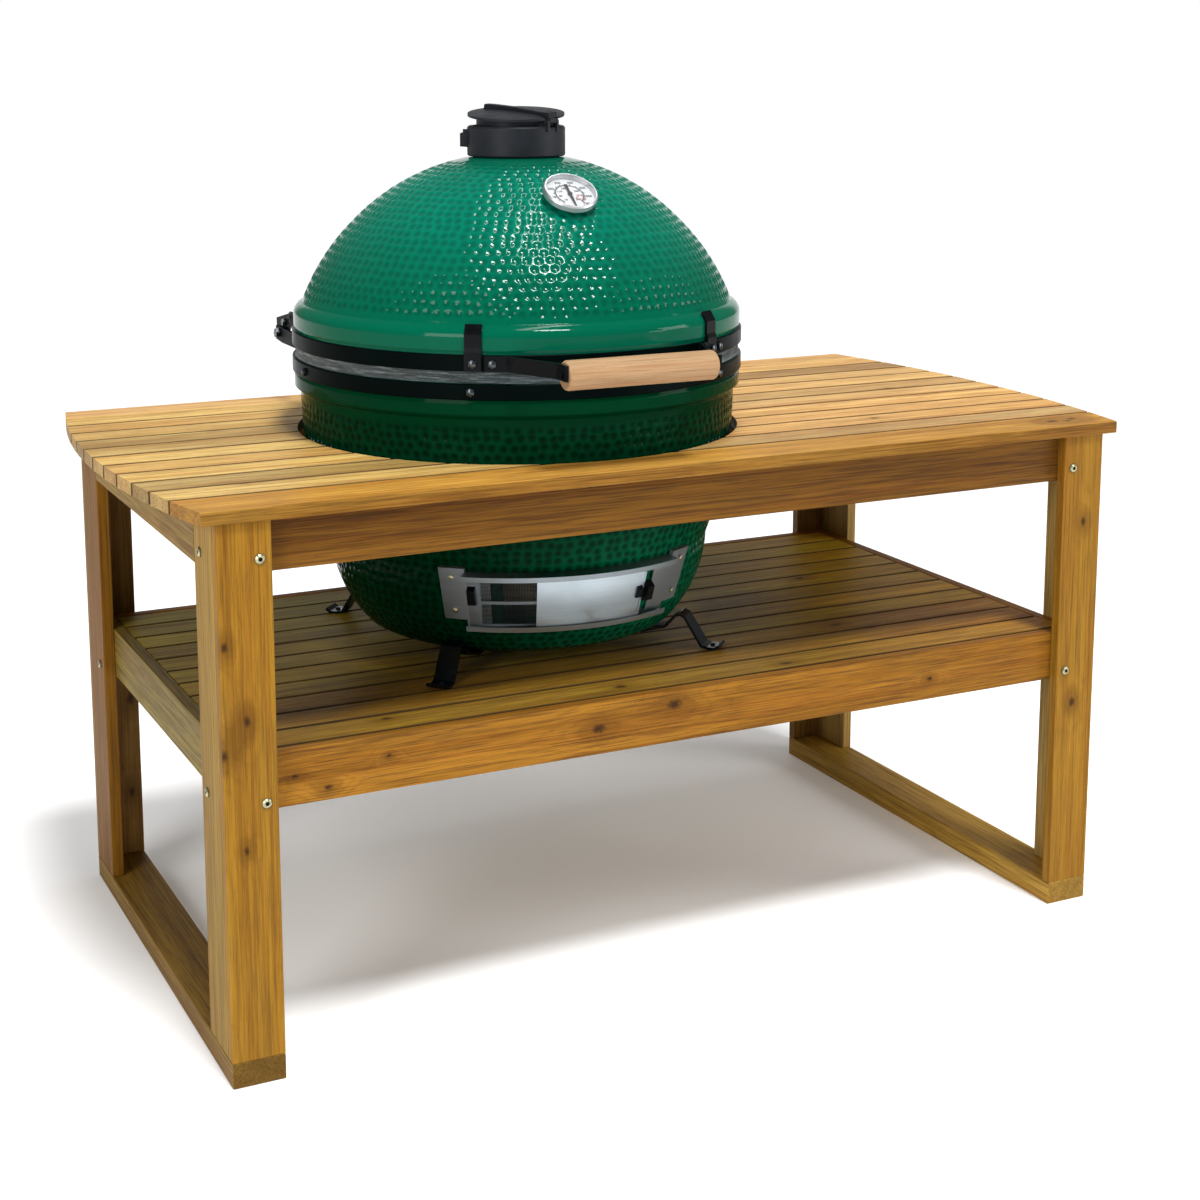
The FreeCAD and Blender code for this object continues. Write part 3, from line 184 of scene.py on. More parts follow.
# ---------------------------------------------------------------- the woods
def wood(name, axis, palette, seed, lines=0.3, pitch=None, knots=(), tint=None, contrast=1.0, gap_shade=False, feet=None, front_face_shade=None, rings=1.5, spec=0.09, painted_light_right=None):
    """Planed hardwood.  axis: the grain's direction.  palette: light, mid, dark and a dull tone.
    pitch: (axis letter, start, step) where several boards share a mesh.  gaps: painted shade on the side faces and near
    edges of the boards, where shade falls between them.
    feet: the height under which the wood turns darker."""
    g = Graph(name)
    obj, x, y, z = g.xyz()
    comp = {"X": x, "Y": y, "Z": z}
    others = [a for a in "XYZ" if a != axis]
    along, c1, c2 = comp[axis], comp[others[0]], comp[others[1]]
    board = board2 = None
    if pitch:
        letter, start, step = pitch
        idx = g.math("FLOOR", g.math("DIVIDE", g.math("SUBTRACT", comp[letter], start), step))
        wn = g.node("ShaderNodeTexWhiteNoise", noise_dimensions="1D")
        g.link(g.math("ADD", idx, seed * 7.31 + 0.37), wn.inputs["W"])
        board = wn.outputs["Value"]
        wn2 = g.node("ShaderNodeTexWhiteNoise", noise_dimensions="1D")
        g.link(g.math("ADD", idx, seed * 3.17 + 40.11), wn2.inputs["W"])
        board2 = wn2.outputs["Value"]
        along_s = g.math("ADD", along, g.math("MULTIPLY", board, 9.0))
        shift = g.math("ADD", c1, g.math("MULTIPLY", board2, 5.0))
    else:
        along_s = g.math("ADD", along, seed * 1.713)
        shift = g.math("ADD", c1, seed * 0.917)
    c2s = g.math("ADD", c2, seed * 0.37)
    bulge = eye = None
    for kx, ky, kz, kr in knots:
        dvec = g.combine(g.math("SUBTRACT", x, kx), g.math("SUBTRACT", y, ky), g.math("SUBTRACT", z, kz))
        sc = {"X": (0.62, 1.0, 1.0), "Y": (1.0, 0.62, 1.0), "Z": (1.0, 1.0, 0.62)}[axis]
        m = g.node("ShaderNodeVectorMath", operation="MULTIPLY")
        g.link(dvec, m.inputs[0])
        m.inputs[1].default_value = sc
        ln = g.node("ShaderNodeVectorMath", operation="LENGTH")
        g.link(m.outputs[0], ln.inputs[0])
        u = g.math("DIVIDE", ln.outputs["Value"], kr)
        wob = g.noise(obj, 170.0, 3.0, 0.6)
        u = g.math("ADD", u, g.math("MULTIPLY", g.math("SUBTRACT", wob, 0.5), 0.9))
        b = g.math("POWER", 2.718, g.math("MULTIPLY", g.math("MULTIPLY", u, u), -0.06))
        e = g.rng(u, 0.15, 1.05, 1.0, 0.0, True)
        bulge = b if bulge is None else g.math("ADD", bulge, b)
        eye = e if eye is None else g.math("MAXIMUM", eye, e)

    def tex(a, c, detail=3.0, rough=0.55, dist=0.0):
        return g.noise(g.combine(g.math("MULTIPLY", along_s, a), g.math("MULTIPLY", shift, c), g.math("MULTIPLY", c2s, c)), 1.0, detail, rough, dist)

    figure = tex(0.7, 9.0, 1.6, 0.45, 0.25)
    phase = g.math("MULTIPLY", figure, 22.0)
    if bulge is not None:
        phase = g.math("ADD", phase, g.math("MULTIPLY", bulge, rings))
    phase = g.math("ADD", phase, g.math("MULTIPLY", tex(7.0, 120.0, 4.0, 0.6), 0.75))
    ring = g.math("FRACT", phase)
    late = g.ramp(ring, [(0.0, grey(0.8)), (0.12, grey(0.18)), (0.6, grey(0.0)), (0.84, grey(0.35)), (1.0, grey(0.8))], "EASE")
    fibre = tex(10.0, 540.0, 3.0, 0.7)
    thread = tex(3.0, 230.0, 4.0, 0.66)
    streak = tex(1.1, 38.0, 4.0, 0.6)
    ruddy = tex(1.3, 52.0, 3.0, 0.55, 0.2)
    broad = tex(0.9, 10.0, 2.0, 0.5)
    cloud = tex(3.6, 9.0, 3.0, 0.55)
    flame = tex(9.0, 70.0, 3.0, 0.55, 0.3)
    pore = tex(70.0, 1500.0, 2.0, 0.5)
    light, mid, dark, dull = palette
    k = 0.25 / contrast
    blend = g.math("ADD", g.math("MULTIPLY", streak, 0.6), g.math("MULTIPLY", broad, 0.4))
    colour = g.ramp(g.rng(blend, 0.5 - k, 0.5 + k), [(0.0, dark), (0.32, mid), (0.68, light), (1.0, tuple(min(1.0, q * 1.12) for q in light[:3]) + (1.0,))])
    colour = g.mix(g.rng(cloud, 0.50, 0.76, 0.0, 0.55), colour, dull)
    colour = g.mix(g.rng(flame, 0.56, 0.74, 0.0, 0.30), colour, light)
    if board is not None:
        if isinstance(tint, dict):
            n_b = len(tint["boards"])
            bt = g.ramp(g.math("DIVIDE", g.math("ADD", idx, 0.5), float(n_b)),
                        [(i / n_b, c) for i, c in enumerate(tint["boards"])], "CONSTANT")
        else:
            stops = tint or [(0.0, grey(0.74)), (0.35, grey(0.95)), (0.7, grey(1.08)), (1.0, grey(1.2))]
            bt = g.ramp(board, stops, "LINEAR")
        colour = g.mix(1.0, colour, bt, "MULTIPLY")
    colour = g.mix(g.math("MULTIPLY", late, lines), colour, dark)
    colour = g.mix(g.rng(ruddy, 0.52, 0.66, 0.0, 0.42), colour, (mid[0] * 0.98, mid[1] * 0.72, mid[2] * 0.62, 1.0))
    colour = g.mix(g.rng(thread, 0.50, 0.64, 0.0, 0.50 * contrast), colour, dark)
    colour = g.mix(g.rng(thread, 0.36, 0.47, 0.30, 0.0), colour, light)
    colour = g.mix(g.rng(fibre, 0.49, 0.62, 0.0, 0.50 * contrast), colour, g.mix(0.45, dark, grey(0.02)))
    colour = g.mix(g.rng(fibre, 0.36, 0.48, 0.40, 0.0), colour, light)
    colour = g.mix(g.rng(pore, 0.63, 0.76, 0.0, 0.44), colour, g.mix(0.5, dark, grey(0.012)))
    if eye is not None:
        halo = g.rng(bulge, 0.55, 1.0, 0.0, 0.5)
        colour = g.mix(halo, colour, dark)
        colour = g.mix(g.math("MULTIPLY", eye, 0.88), colour, lin(44, 26, 12))
    geo = g.node("ShaderNodeNewGeometry")
    nrm = g.node("ShaderNodeSeparateXYZ")
    g.link(geo.outputs["Normal"], nrm.inputs[0])
    ends = g.rng(g.math("ABSOLUTE", nrm.outputs["XYZ".index(axis)]), 0.75, 0.95, 0.0, 0.42)
    colour = g.mix(ends, colour, g.mix(0.55, dark, grey(0.01)))
    # Painted shade between boards: side faces and the strips next to each joint are darkened.
    if gap_shade:
        painted_gap_shade = g.rng(g.math("ABSOLUTE", nrm.outputs["XYZ".index(pitch[0])]), 0.12, 0.65, 0.0, 0.93)
        place = g.math("FRACT", g.math("DIVIDE", g.math("SUBTRACT", comp[pitch[0]], pitch[1]), pitch[2]))
        near = g.math("MULTIPLY", g.math("SUBTRACT", 0.5, g.math("ABSOLUTE", g.math("SUBTRACT", place, 0.5))), pitch[2])
        painted_gap_shade = g.math("MAXIMUM", painted_gap_shade, g.rng(near, 0.0030, 0.0052, 0.75, 0.0))
        colour = g.mix(painted_gap_shade, colour, g.mix(0.75, dark, grey(0.006)))
    # Painted shade: faces turned towards -Y are multiplied by this darker tint, for the light they miss.
    if front_face_shade:
        front = g.rng(nrm.outputs[1], -0.4, -0.9, 0.0, 1.0)
        colour = g.mix(front, colour, g.mix(1.0, colour, (*front_face_shade, 1.0), "MULTIPLY"))
    # Painted light: the colour is multiplied lighter towards +x, where more light falls on the shelf's right end.
    if painted_light_right:
        lit_tint = g.node("ShaderNodeVectorMath", operation="MULTIPLY")
        g.feed(lit_tint.inputs[0], colour)
        lit_tint.inputs[1].default_value = painted_light_right[2:]
        colour = g.mix(g.rng(x, painted_light_right[0], painted_light_right[1], 0.0, 1.0, True), colour, lit_tint.outputs[0])
    # Darker towards the bottom: below the feet height the wood is mixed half-way towards a dark grey-brown.
    if feet is not None:
        foot_dark = g.math("ADD", z, g.math("MULTIPLY", g.math("SUBTRACT", cloud, 0.5), 0.006))
        colour = g.mix(g.rng(foot_dark, feet - 0.004, feet + 0.001, 0.5, 0.0, True), colour, g.mix(0.7, dark, lin(70, 58, 44)))
    rough = g.math("ADD", g.rng(fibre, 0.3, 0.8, 0.46, 0.66), g.math("MULTIPLY", late, -0.05))
    h = g.math("ADD", g.math("MULTIPLY", fibre, 0.7), g.math("MULTIPLY", pore, -0.5))
    normal = g.bump(h, 0.35, 0.0006)
    return g.set(base=colour, rough=rough, normal=normal, spec=spec)


# Lit and shaded copies of one wood: PAL_SHADE and PAL_INNER_SHADE are darker copies for parts that sit in shade
# (painted shade), and the tone() factors where the parts are dressed below lighten or darken further parts for how
# light falls on them (painted light and shade).
PAL_TOP = (lin(226, 186, 116), lin(200, 150, 78), lin(140, 92, 36), lin(176, 140, 88))
PAL_TOP_R = (lin(236, 192, 120), lin(214, 158, 84), lin(158, 104, 46), lin(190, 146, 92))
PAL_EDGE = (lin(206, 150, 62), lin(172, 116, 40), lin(112, 66, 18), lin(160, 118, 56))
PAL_LEG = (lin(190, 130, 42), lin(160, 100, 26), lin(100, 56, 12), lin(136, 100, 44))
PAL_SIDE = (lin(168, 132, 66), lin(144, 106, 46), lin(94, 62, 22), lin(128, 104, 62))
PAL_SHELF = (lin(160, 120, 56), lin(134, 92, 36), lin(84, 50, 16), lin(122, 100, 56))
PAL_SHADE = (lin(140, 106, 50), lin(116, 82, 34), lin(70, 44, 16), lin(100, 84, 46))
PAL_INNER_SHADE = (lin(134, 84, 34), lin(104, 62, 22), lin(62, 34, 10), lin(94, 68, 34))
PAL_RAIL = (lin(180, 122, 42), lin(150, 96, 26), lin(94, 54, 12), lin(134, 98, 42))
PAL_APRON = (lin(168, 112, 38), lin(134, 84, 24), lin(82, 46, 12), lin(120, 84, 36))
PAL_SOLE = (lin(168, 132, 72), lin(142, 106, 52), lin(92, 62, 26), lin(126, 104, 64))


def dress(name, mat):
    o = NODES[name]
    o.data.materials.clear()
    o.data.materials.append(mat)


def tone(palette, r, g, b):
    """The same palette, warmer, darker or duller."""
    return tuple((min(1.0, c[0] * r), min(1.0, c[1] * g), min(1.0, c[2] * b), 1.0) for c in palette)


TINTS = [(0.0, (0.50, 0.47, 0.42)), (0.2, (0.78, 0.70, 0.60)), (0.4, (1.0, 0.93, 0.82)), (0.55, (0.84, 0.86, 0.84)),
         (0.75, (1.16, 1.08, 0.94)), (1.0, (1.34, 1.34, 1.36))]
TINTS_SHELF = [(0.0, (0.74, 0.72, 0.68)), (0.3, (0.92, 0.86, 0.78)), (0.6, (1.0, 1.0, 1.0)), (1.0, (1.18, 1.18, 1.15))]
TAN, GOLD, PALE, RUST, BROWN, DUSK = (1.0, 0.95, 0.88), (1.18, 1.12, 1.0), (1.34, 1.34, 1.30), (1.0, 0.84, 0.68), (0.72, 0.66, 0.58), (0.56, 0.54, 0.50)
LEFT_BOARDS = {"boards": [TAN, DUSK, PALE, RUST, GOLD, BROWN, DUSK, TAN, RUST, GOLD]}
RIGHT_BOARDS = {"boards": [DUSK, GOLD, RUST, PALE, TAN, BROWN, GOLD, TAN, DUSK, GOLD]}
# Painted shade at each joint between the top's boards darkens their side faces and edges.
dress("top_slats_left", wood("wood_top_left", "X", tone(PAL_TOP, 0.90, 1.02, 1.0), 1.0, 0.30, ("Y", -0.3125, 0.065), tint=LEFT_BOARDS, gap_shade=True, contrast=1.3, spec=0.2,
                             knots=[(-0.62, -0.25, 0.775, 0.006), (-0.55, 0.14, 0.775, 0.005)]))
dress("top_slats_right", wood("wood_top_right", "X", tone(PAL_TOP_R, 0.90, 0.98, 1.06), 4.0, 0.30, ("Y", -0.3125, 0.065), tint=RIGHT_BOARDS, gap_shade=True, contrast=1.3, spec=0.2,
                              knots=[(0.40, -0.21, 0.775, 0.007), (0.58, 0.02, 0.775, 0.005), (0.30, 0.09, 0.775, 0.005)]))
# Painted shade: the front slat's forward faces get a darker tint.
dress("top_slat_front", wood("wood_top_front", "X", tone(PAL_EDGE, 0.96, 1.04, 1.16), 7.3, 0.32, front_face_shade=(0.53, 0.52, 0.46), knots=[(0.63, -0.355, 0.775, 0.009), (0.672, -0.350, 0.775, 0.008), (0.655, -0.362, 0.775, 0.006)]))
dress("top_slat_back", wood("wood_top_back", "X", tone(PAL_TOP_R, 0.86, 0.89, 1.0), 5.1, 0.3))
SHELF_BOARDS = {"boards": [(0.63, 0.48, 0.90), (0.65, 0.46, 0.84), (0.79, 0.60, 0.84), (0.92, 0.92, 0.84), (1.08, 1.02, 0.92), (0.86, 0.92, 0.84),
                           (1.0, 1.04, 0.92), (0.90, 0.96, 0.84), (1.06, 1.12, 1.0), (0.84, 0.94, 0.84), (0.96, 1.04, 0.92)]}
# Painted light and shade on the shelf: lighter towards the right end, darker at each joint between boards.
dress("shelf_slats", wood("wood_shelf", "X", tone(PAL_SHELF, 1.03, 1.36, 0.50), 2.0, 0.34, ("Y", -0.3547, 0.0645), tint=SHELF_BOARDS, gap_shade=True, contrast=1.2, painted_light_right=(0.22, 0.60, 1.72, 1.50, 1.30),
                          knots=[(-0.10, -0.325, 0.4435, 0.009), (0.17, -0.332, 0.4435, 0.008), (-0.45, -0.31, 0.4435, 0.007),
                                 (0.35, -0.19, 0.4435, 0.008), (0.45, 0.08, 0.4435, 0.008)]))
# Painted shade: the battens under the shelf and top use the darker inner palette.
dress("shelf_battens", wood("wood_shelf_battens", "Y", PAL_INNER_SHADE, 3.0))
dress("top_battens", wood("wood_top_battens", "Y", PAL_INNER_SHADE, 3.6))
# Painted light and shade: the left runner gets a darkened copy of the sole wood, the right runner a brightened one.
for i, n in enumerate(("runner_left", "runner_right")):
    dress(n, wood("wood_" + n, "Y", tone(PAL_SOLE, *((0.61, 0.58, 0.25) if i == 0 else (1.2, 1.22, 0.7))), 8.0 + i, 0.3))
LEG_KNOTS = {
    "leg_front_left_face": [(-0.6935, -0.393, 0.597, 0.006), (-0.667, -0.393, 0.497, 0.0065), (-0.6975, -0.393, 0.455, 0.0065), (-0.6725, -0.393, 0.324, 0.005)],
    "leg_front_right_face": [(0.660, -0.393, 0.33, 0.007), (0.668, -0.393, 0.62, 0.006)],
    "leg_back_right_face": [(0.665, 0.375, 0.5, 0.007)],
    "leg_back_left_face": [(-0.640, 0.375, 0.30, 0.009), (-0.645, 0.375, 0.14, 0.007)],
}
# Painted light and shade: each leg face and side gets its own lit or shaded copy of the wood; the back faces use the
# shaded palette, the right sides a strongly brightened copy of the inner palette and the back-left side a darkened one.
for i, fb in enumerate(("front", "back")):
    for j, lr in enumerate(("left", "right")):
        for k, part in enumerate(("face", "side")):
            n = "leg_%s_%s_%s" % (fb, lr, part)
            if part == "side":
                pal = tone(PAL_SIDE, 0.85, 0.89, 0.46) if lr == "left" else tone(PAL_INNER_SHADE, 1.72, 2.9, 4.3)
                if fb == "back" and lr == "left":
                    pal = tone(PAL_SIDE, 0.58, 0.44, 0.12)
            else:
                pal = tone(PAL_LEG, 0.61, 0.71, 0.62) if fb == "front" else PAL_SHADE
            dress(n, wood("wood_" + n, "Z", pal, 11.0 + i * 4 + j * 2 + k * 0.7, 0.26, knots=LEG_KNOTS.get(n, ()), contrast=0.75, feet=0.036))
# Painted shade: the aprons and rails get darkened copies of their woods, the front apron darkest, in the shade of the
# top's overhang; the left shelf rail uses the shaded palette.
dress("apron_front", wood("wood_apron_front", "X", tone(PAL_APRON, 0.53, 0.555, 0.54), 21.0, 0.3))
dress("apron_back", wood("wood_apron_back", "X", tone(PAL_APRON, 0.72, 0.76, 0.62), 22.0, 0.3))
dress("end_apron_left", wood("wood_end_apron_left", "Y", tone(PAL_SIDE, 0.70, 0.74, 0.52), 23.0, 0.3))
dress("end_apron_right", wood("wood_end_apron_right", "Y", tone(PAL_SIDE, 0.92, 0.90, 0.66), 24.0, 0.3))
dress("shelf_rail_front", wood("wood_shelf_rail_front", "X", tone(PAL_RAIL, 0.71, 0.73, 0.60), 25.0, 0.36, rings=3.0, contrast=1.2,
                               knots=[(-0.16, -0.375, 0.405, 0.009), (-0.04, -0.375, 0.423, 0.010), (0.40, -0.375, 0.40, 0.004), (-0.47, -0.375, 0.415, 0.003), (-0.60, -0.375, 0.407, 0.004), (-0.555, -0.375, 0.385, 0.005)]))
dress("shelf_rail_back", wood("wood_shelf_rail_back", "X", tone(PAL_RAIL, 0.70, 0.72, 0.60), 26.0, 0.3))
dress("shelf_rail_left", wood("wood_shelf_rail_left", "Y", tone(PAL_SHADE, 0.88, 1.14, 0.92), 27.0, 0.3))
dress("shelf_rail_right", wood("wood_shelf_rail_right", "Y", tone(PAL_RAIL, 0.74, 0.78, 0.70), 28.0, 0.3))
dress("handle_bar", wood("wood_handle", "X", (lin(176, 147, 112), lin(161, 128, 93), lin(126, 92, 60), lin(166, 137, 102)), 31.0, 0.16, contrast=0.5))


# ------------------------------------------------------------- other finishes
def metal(name, colour, rough=0.35, spread=0.08, scale=60.0, bump=0.05, metallic=1.0, coat=0.0, dark=0.8, spec=0.5):
    g = Graph(name)
    obj, x, y, z = g.xyz()
    n = g.noise(obj, scale, 4.0, 0.6)
    fine = g.noise(obj, scale * 14.0, 2.0, 0.5)
    c = g.mix(g.rng(n, 0.35, 0.7), tuple(v * dark for v in colour[:3]) + (1.0,), colour)
    r = g.rng(n, 0.3, 0.7, rough - spread, rough + spread)
    nrm = g.bump(fine, bump, 0.0004)
    m = g.set(base=c, rough=r, metal=metallic, normal=nrm)
    g.bsdf.inputs["Specular IOR Level"].default_value = spec
    if coat:
        g.bsdf.inputs["Coat Weight"].default_value = coat
        g.bsdf.inputs["Coat Roughness"].default_value = 0.25
    return m


band_metal = metal("band_steel", lin(2, 10, 9), 0.30, 0.07, 18.0, 0.08, 0.0, 0.0, 0.7, 0.02)
black_metal = metal("black_steel", lin(6, 9, 11), 0.34, 0.08, 40.0, 0.12, 0.0, 0.0, 0.7, 0.10)
screw_metal = metal("screw_zinc", lin(74, 80, 84), 0.24, 0.08, 120.0, 0.1, 0.9)
bolt_metal = metal("bolt_bright", lin(176, 170, 140), 0.36, 0.07, 150.0, 0.08, 1.0)
spring_metal = metal("spring_steel", lin(110, 110, 112), 0.38, 0.08, 90.0, 0.1, 1.0)
chrome = metal("bezel_chrome", lin(204, 206, 209), 0.36, 0.04, 20.0, 0.01, 0.9)
grid_metal = metal("grid_steel", lin(170, 170, 168), 0.38, 0.1, 50.0, 0.1, 1.0)
iron = metal("cast_iron", lin(48, 47, 46), 0.7, 0.1, 90.0, 0.6, 0.6)
foot_metal = metal("foot_gloss_black", lin(5, 13, 17), 0.18, 0.05, 30.0, 0.06, 0.0, 0.0, 0.7, 0.16)
cap_plastic = metal("cap_charcoal", lin(28, 31, 36), 0.50, 0.08, 45.0, 0.35, 0.0, 0.0, 0.72, 0.16)
needle_paint = metal("needle_paint", lin(12, 12, 13), 0.6, 0.05, 200.0, 0.05, 0.0, spec=0.12)
for n in ("lower_band", "upper_band", "hinge_lower_bracket", "hinge_upper_bracket"):
    dress(n, band_metal)
for n in ("band_tabs", "handle_bracket", "door_knob", "screen_knob"):
    dress(n, black_metal)
for n in ("upper_band_screws", "lower_band_screws", "hinge_pins", "foot_screws", "cap_hinge_pin"):
    dress(n, screw_metal)
g = Graph("bolt_socketed")
obj, x, y, z = g.xyz()
ax_, ay_ = g.math("ABSOLUTE", x), g.math("ABSOLUTE", y)
on_face = g.math("GREATER_THAN", ay_, 0.3928)
dz_face = g.math("MINIMUM", g.math("ABSOLUTE", g.math("SUBTRACT", z, 0.707)), g.math("ABSOLUTE", g.math("SUBTRACT", z, 0.384)))
dz_side = g.math("MINIMUM", g.math("ABSOLUTE", g.math("SUBTRACT", z, 0.705)), g.math("ABSOLUTE", g.math("SUBTRACT", z, 0.382)))
dh_face, dh_side = g.math("SUBTRACT", ax_, 0.644), g.math("SUBTRACT", ay_, 0.315)


def radius_of(a, b):
    return g.math("SQRT", g.math("ADD", g.math("MULTIPLY", a, a), g.math("MULTIPLY", b, b)))


r_face, r_side = radius_of(dh_face, dz_face), radius_of(dh_side, dz_side)
rad = g.math("ADD", g.math("MULTIPLY", on_face, r_face), g.math("MULTIPLY", g.math("SUBTRACT", 1.0, on_face), r_side))
n = g.noise(obj, 150.0, 4.0, 0.6)
steel = g.mix(g.rng(n, 0.35, 0.7), lin(150, 146, 112), lin(196, 192, 158))
shade = g.math("MAXIMUM", g.rng(rad, 0.0026, 0.0031, 1.0, 0.0), g.rng(rad, 0.0058, 0.0066, 0.0, 0.85))
g.set(base=g.mix(shade, steel, lin(26, 24, 18)), rough=g.rng(n, 0.3, 0.7, 0.28, 0.42), metal=g.math("SUBTRACT", 1.0, shade), spec=0.1,
      normal=g.bump(n, 0.06, 0.0004))
dress("leg_bolts", g.mat)
dress("hinge_springs", spring_metal)
dress("cooking_grate", grid_metal)
dress("fire_grate", iron)
dress("foot_cradle", foot_metal)
dress("cap_collar", cap_plastic)
dress("rain_cap", cap_plastic)
dress("thermometer_case", chrome)
dress("thermometer_needle", needle_paint)
dress("draft_screws", bolt_metal)

g = Graph("felt_grey")
obj, x, y, z = g.xyz()
fz = g.noise(obj, 420.0, 6.0, 0.75)
band_n = g.noise(g.combine(g.math("MULTIPLY", x, 26.0), g.math("MULTIPLY", y, 26.0), g.math("MULTIPLY", z, 420.0)), 1.0, 5.0, 0.7)
c = g.ramp(g.rng(band_n, 0.3, 0.72), [(0.0, lin(30, 34, 36)), (0.5, lin(66, 76, 78)), (1.0, lin(140, 150, 152))])
felt = g.set(base=c, rough=0.95, normal=g.bump(fz, 1.0, 0.002), sheen=0.25, spec=0.1)
for n in ("base_felt", "dome_felt"):
    dress(n, felt)

g = Graph("fire_clay")
obj, x, y, z = g.xyz()
n1 = g.noise(obj, 14.0, 6.0, 0.65)
n2 = g.noise(obj, 220.0, 3.0, 0.6)
clay = g.set(base=g.ramp(n1, [(0.3, lin(112, 96, 82)), (0.6, lin(158, 136, 114)), (0.8, lin(176, 158, 136))]), rough=0.92, normal=g.bump(n2, 0.6, 0.002), spec=0.2)
for n in ("fire_box", "fire_ring"):
    dress(n, clay)

AX, AY = -0.109, 0.010


def brushed(name, tone, rough, painted_top_light=None):
    """Sheet steel brushed round the kamado's axis."""
    g = Graph(name)
    obj, x, y, z = g.xyz()
    ang = g.math("ARCTAN2", g.math("SUBTRACT", y, AY), g.math("SUBTRACT", x, AX))
    v = g.combine(g.math("MULTIPLY", ang, 3.0), g.math("MULTIPLY", z, 1700.0), 0.3)
    n = g.noise(v, 1.0, 4.0, 0.6)
    blot = g.noise(obj, 26.0, 4.0, 0.6)
    col = g.mix(g.rng(n, 0.3, 0.7), tuple(q * 0.82 for q in tone[:3]) + (1.0,), tone)
    # Painted light: between heights z0 and z1 the sheet grows brighter towards the top by the given gain.
    if painted_top_light:
        z0, z1, gain = painted_top_light
        bright = tuple(min(0.95, q * gain) for q in tone[:3]) + (1.0,)
        col = g.mix(g.rng(z, z0, z1, 0.0, 1.0, True), col, g.mix(g.rng(n, 0.3, 0.7), tuple(q * 0.86 for q in bright[:3]) + (1.0,), bright))
    col = g.mix(g.rng(blot, 0.5, 0.75, 0.0, 0.12), col, tuple(q * 0.6 for q in tone[:3]) + (1.0,))
    r = g.math("ADD", g.rng(n, 0.3, 0.7, rough - 0.06, rough + 0.08), g.rng(blot, 0.4, 0.7, 0.0, 0.06))
    m = g.set(base=col, rough=r, metal=1.0, normal=g.bump(n, 0.08, 0.0004))
    g.bsdf.inputs["Anisotropic"].default_value = 0.6
    return m


dress("draft_frame", brushed("draft_frame_steel", lin(140, 149, 154), 0.38))
# The door gets painted light, brighter towards its top.
dress("draft_door", brushed("draft_door_steel", lin(158, 170, 177), 0.38, (0.552, 0.588, 1.42)))

# ---------------------------------------------------------- glazed ceramic
def glaze_finish(name, high, shaded_low, pit, z0, z1, spec, painted_light_pool=None, collar_reflection_shade=None):
    g = Graph(name)
    obj, x, y, z = g.xyz()
    att = g.node("ShaderNodeAttribute", attribute_name="glaze", attribute_type="GEOMETRY")
    n = g.noise(obj, 9.0, 4.0, 0.55)
    n2 = g.noise(obj, 150.0, 3.0, 0.55)
    col = g.mix(g.rng(n, 0.35, 0.7), tuple(q * 0.86 for q in high[:3]) + (1.0,), high)
    # Painted shade: the glaze turns darker towards the bottom, from z1 down to z0.
    col = g.mix(g.rng(z, z0, z1, 1.0, 0.0, True), col, shaded_low)
    # Painted light: a pool of lighter green on the bowl, growing towards x -0.02 and below z 0.72.
    if painted_light_pool:
        col = g.mix(g.math("MULTIPLY", g.rng(x, -0.30, -0.02, 0.0, 1.0, True), g.rng(z, 0.60, 0.72, 1.0, 0.0, True)), col, painted_light_pool)
    # Painted reflection and shade: the glaze darkens in a band just under the cap collar, from z 1.158 to 1.180.
    if collar_reflection_shade:
        col = g.mix(g.rng(z, 1.158, 1.180, 0.0, 0.8, True), col, collar_reflection_shade)
    # Pit centres darker: partly glazing pooled in the hollows, partly painted shade.
    col = g.mix(g.rng(att.outputs["Fac"], 0.0, 1.0, 0.0, 1.0), col, pit)
    col = g.mix(g.rng(n2, 0.6, 0.8, 0.0, 0.25), col, pit)
    calm = g.rng(z, 0.968, 1.045, 0.5 * spec, spec, True)
    return g.set(base=col, rough=g.rng(n2, 0.3, 0.7, 0.05, 0.09), spec=calm, normal=g.bump(g.noise(obj, 55.0, 1.0, 0.5), 0.07, 0.003, g.bump(n2, 0.025, 0.0006)))


# The dome gets painted shade towards its bottom and a painted reflection and shade band under the collar.
glaze_dome = glaze_finish("green_glaze_dome", lin(0, 113, 90), lin(0, 84, 61), lin(0, 52, 38), 0.97, 1.15, 0.19, collar_reflection_shade=lin(0, 78, 56))
# The bowl gets painted shade towards its bottom and a painted pool of light on its lower front.
glaze_bowl = glaze_finish("green_glaze_bowl", lin(0, 50, 27), lin(0, 43, 20), lin(0, 20, 8), 0.50, 0.80, 0.04, painted_light_pool=lin(0, 84, 54))


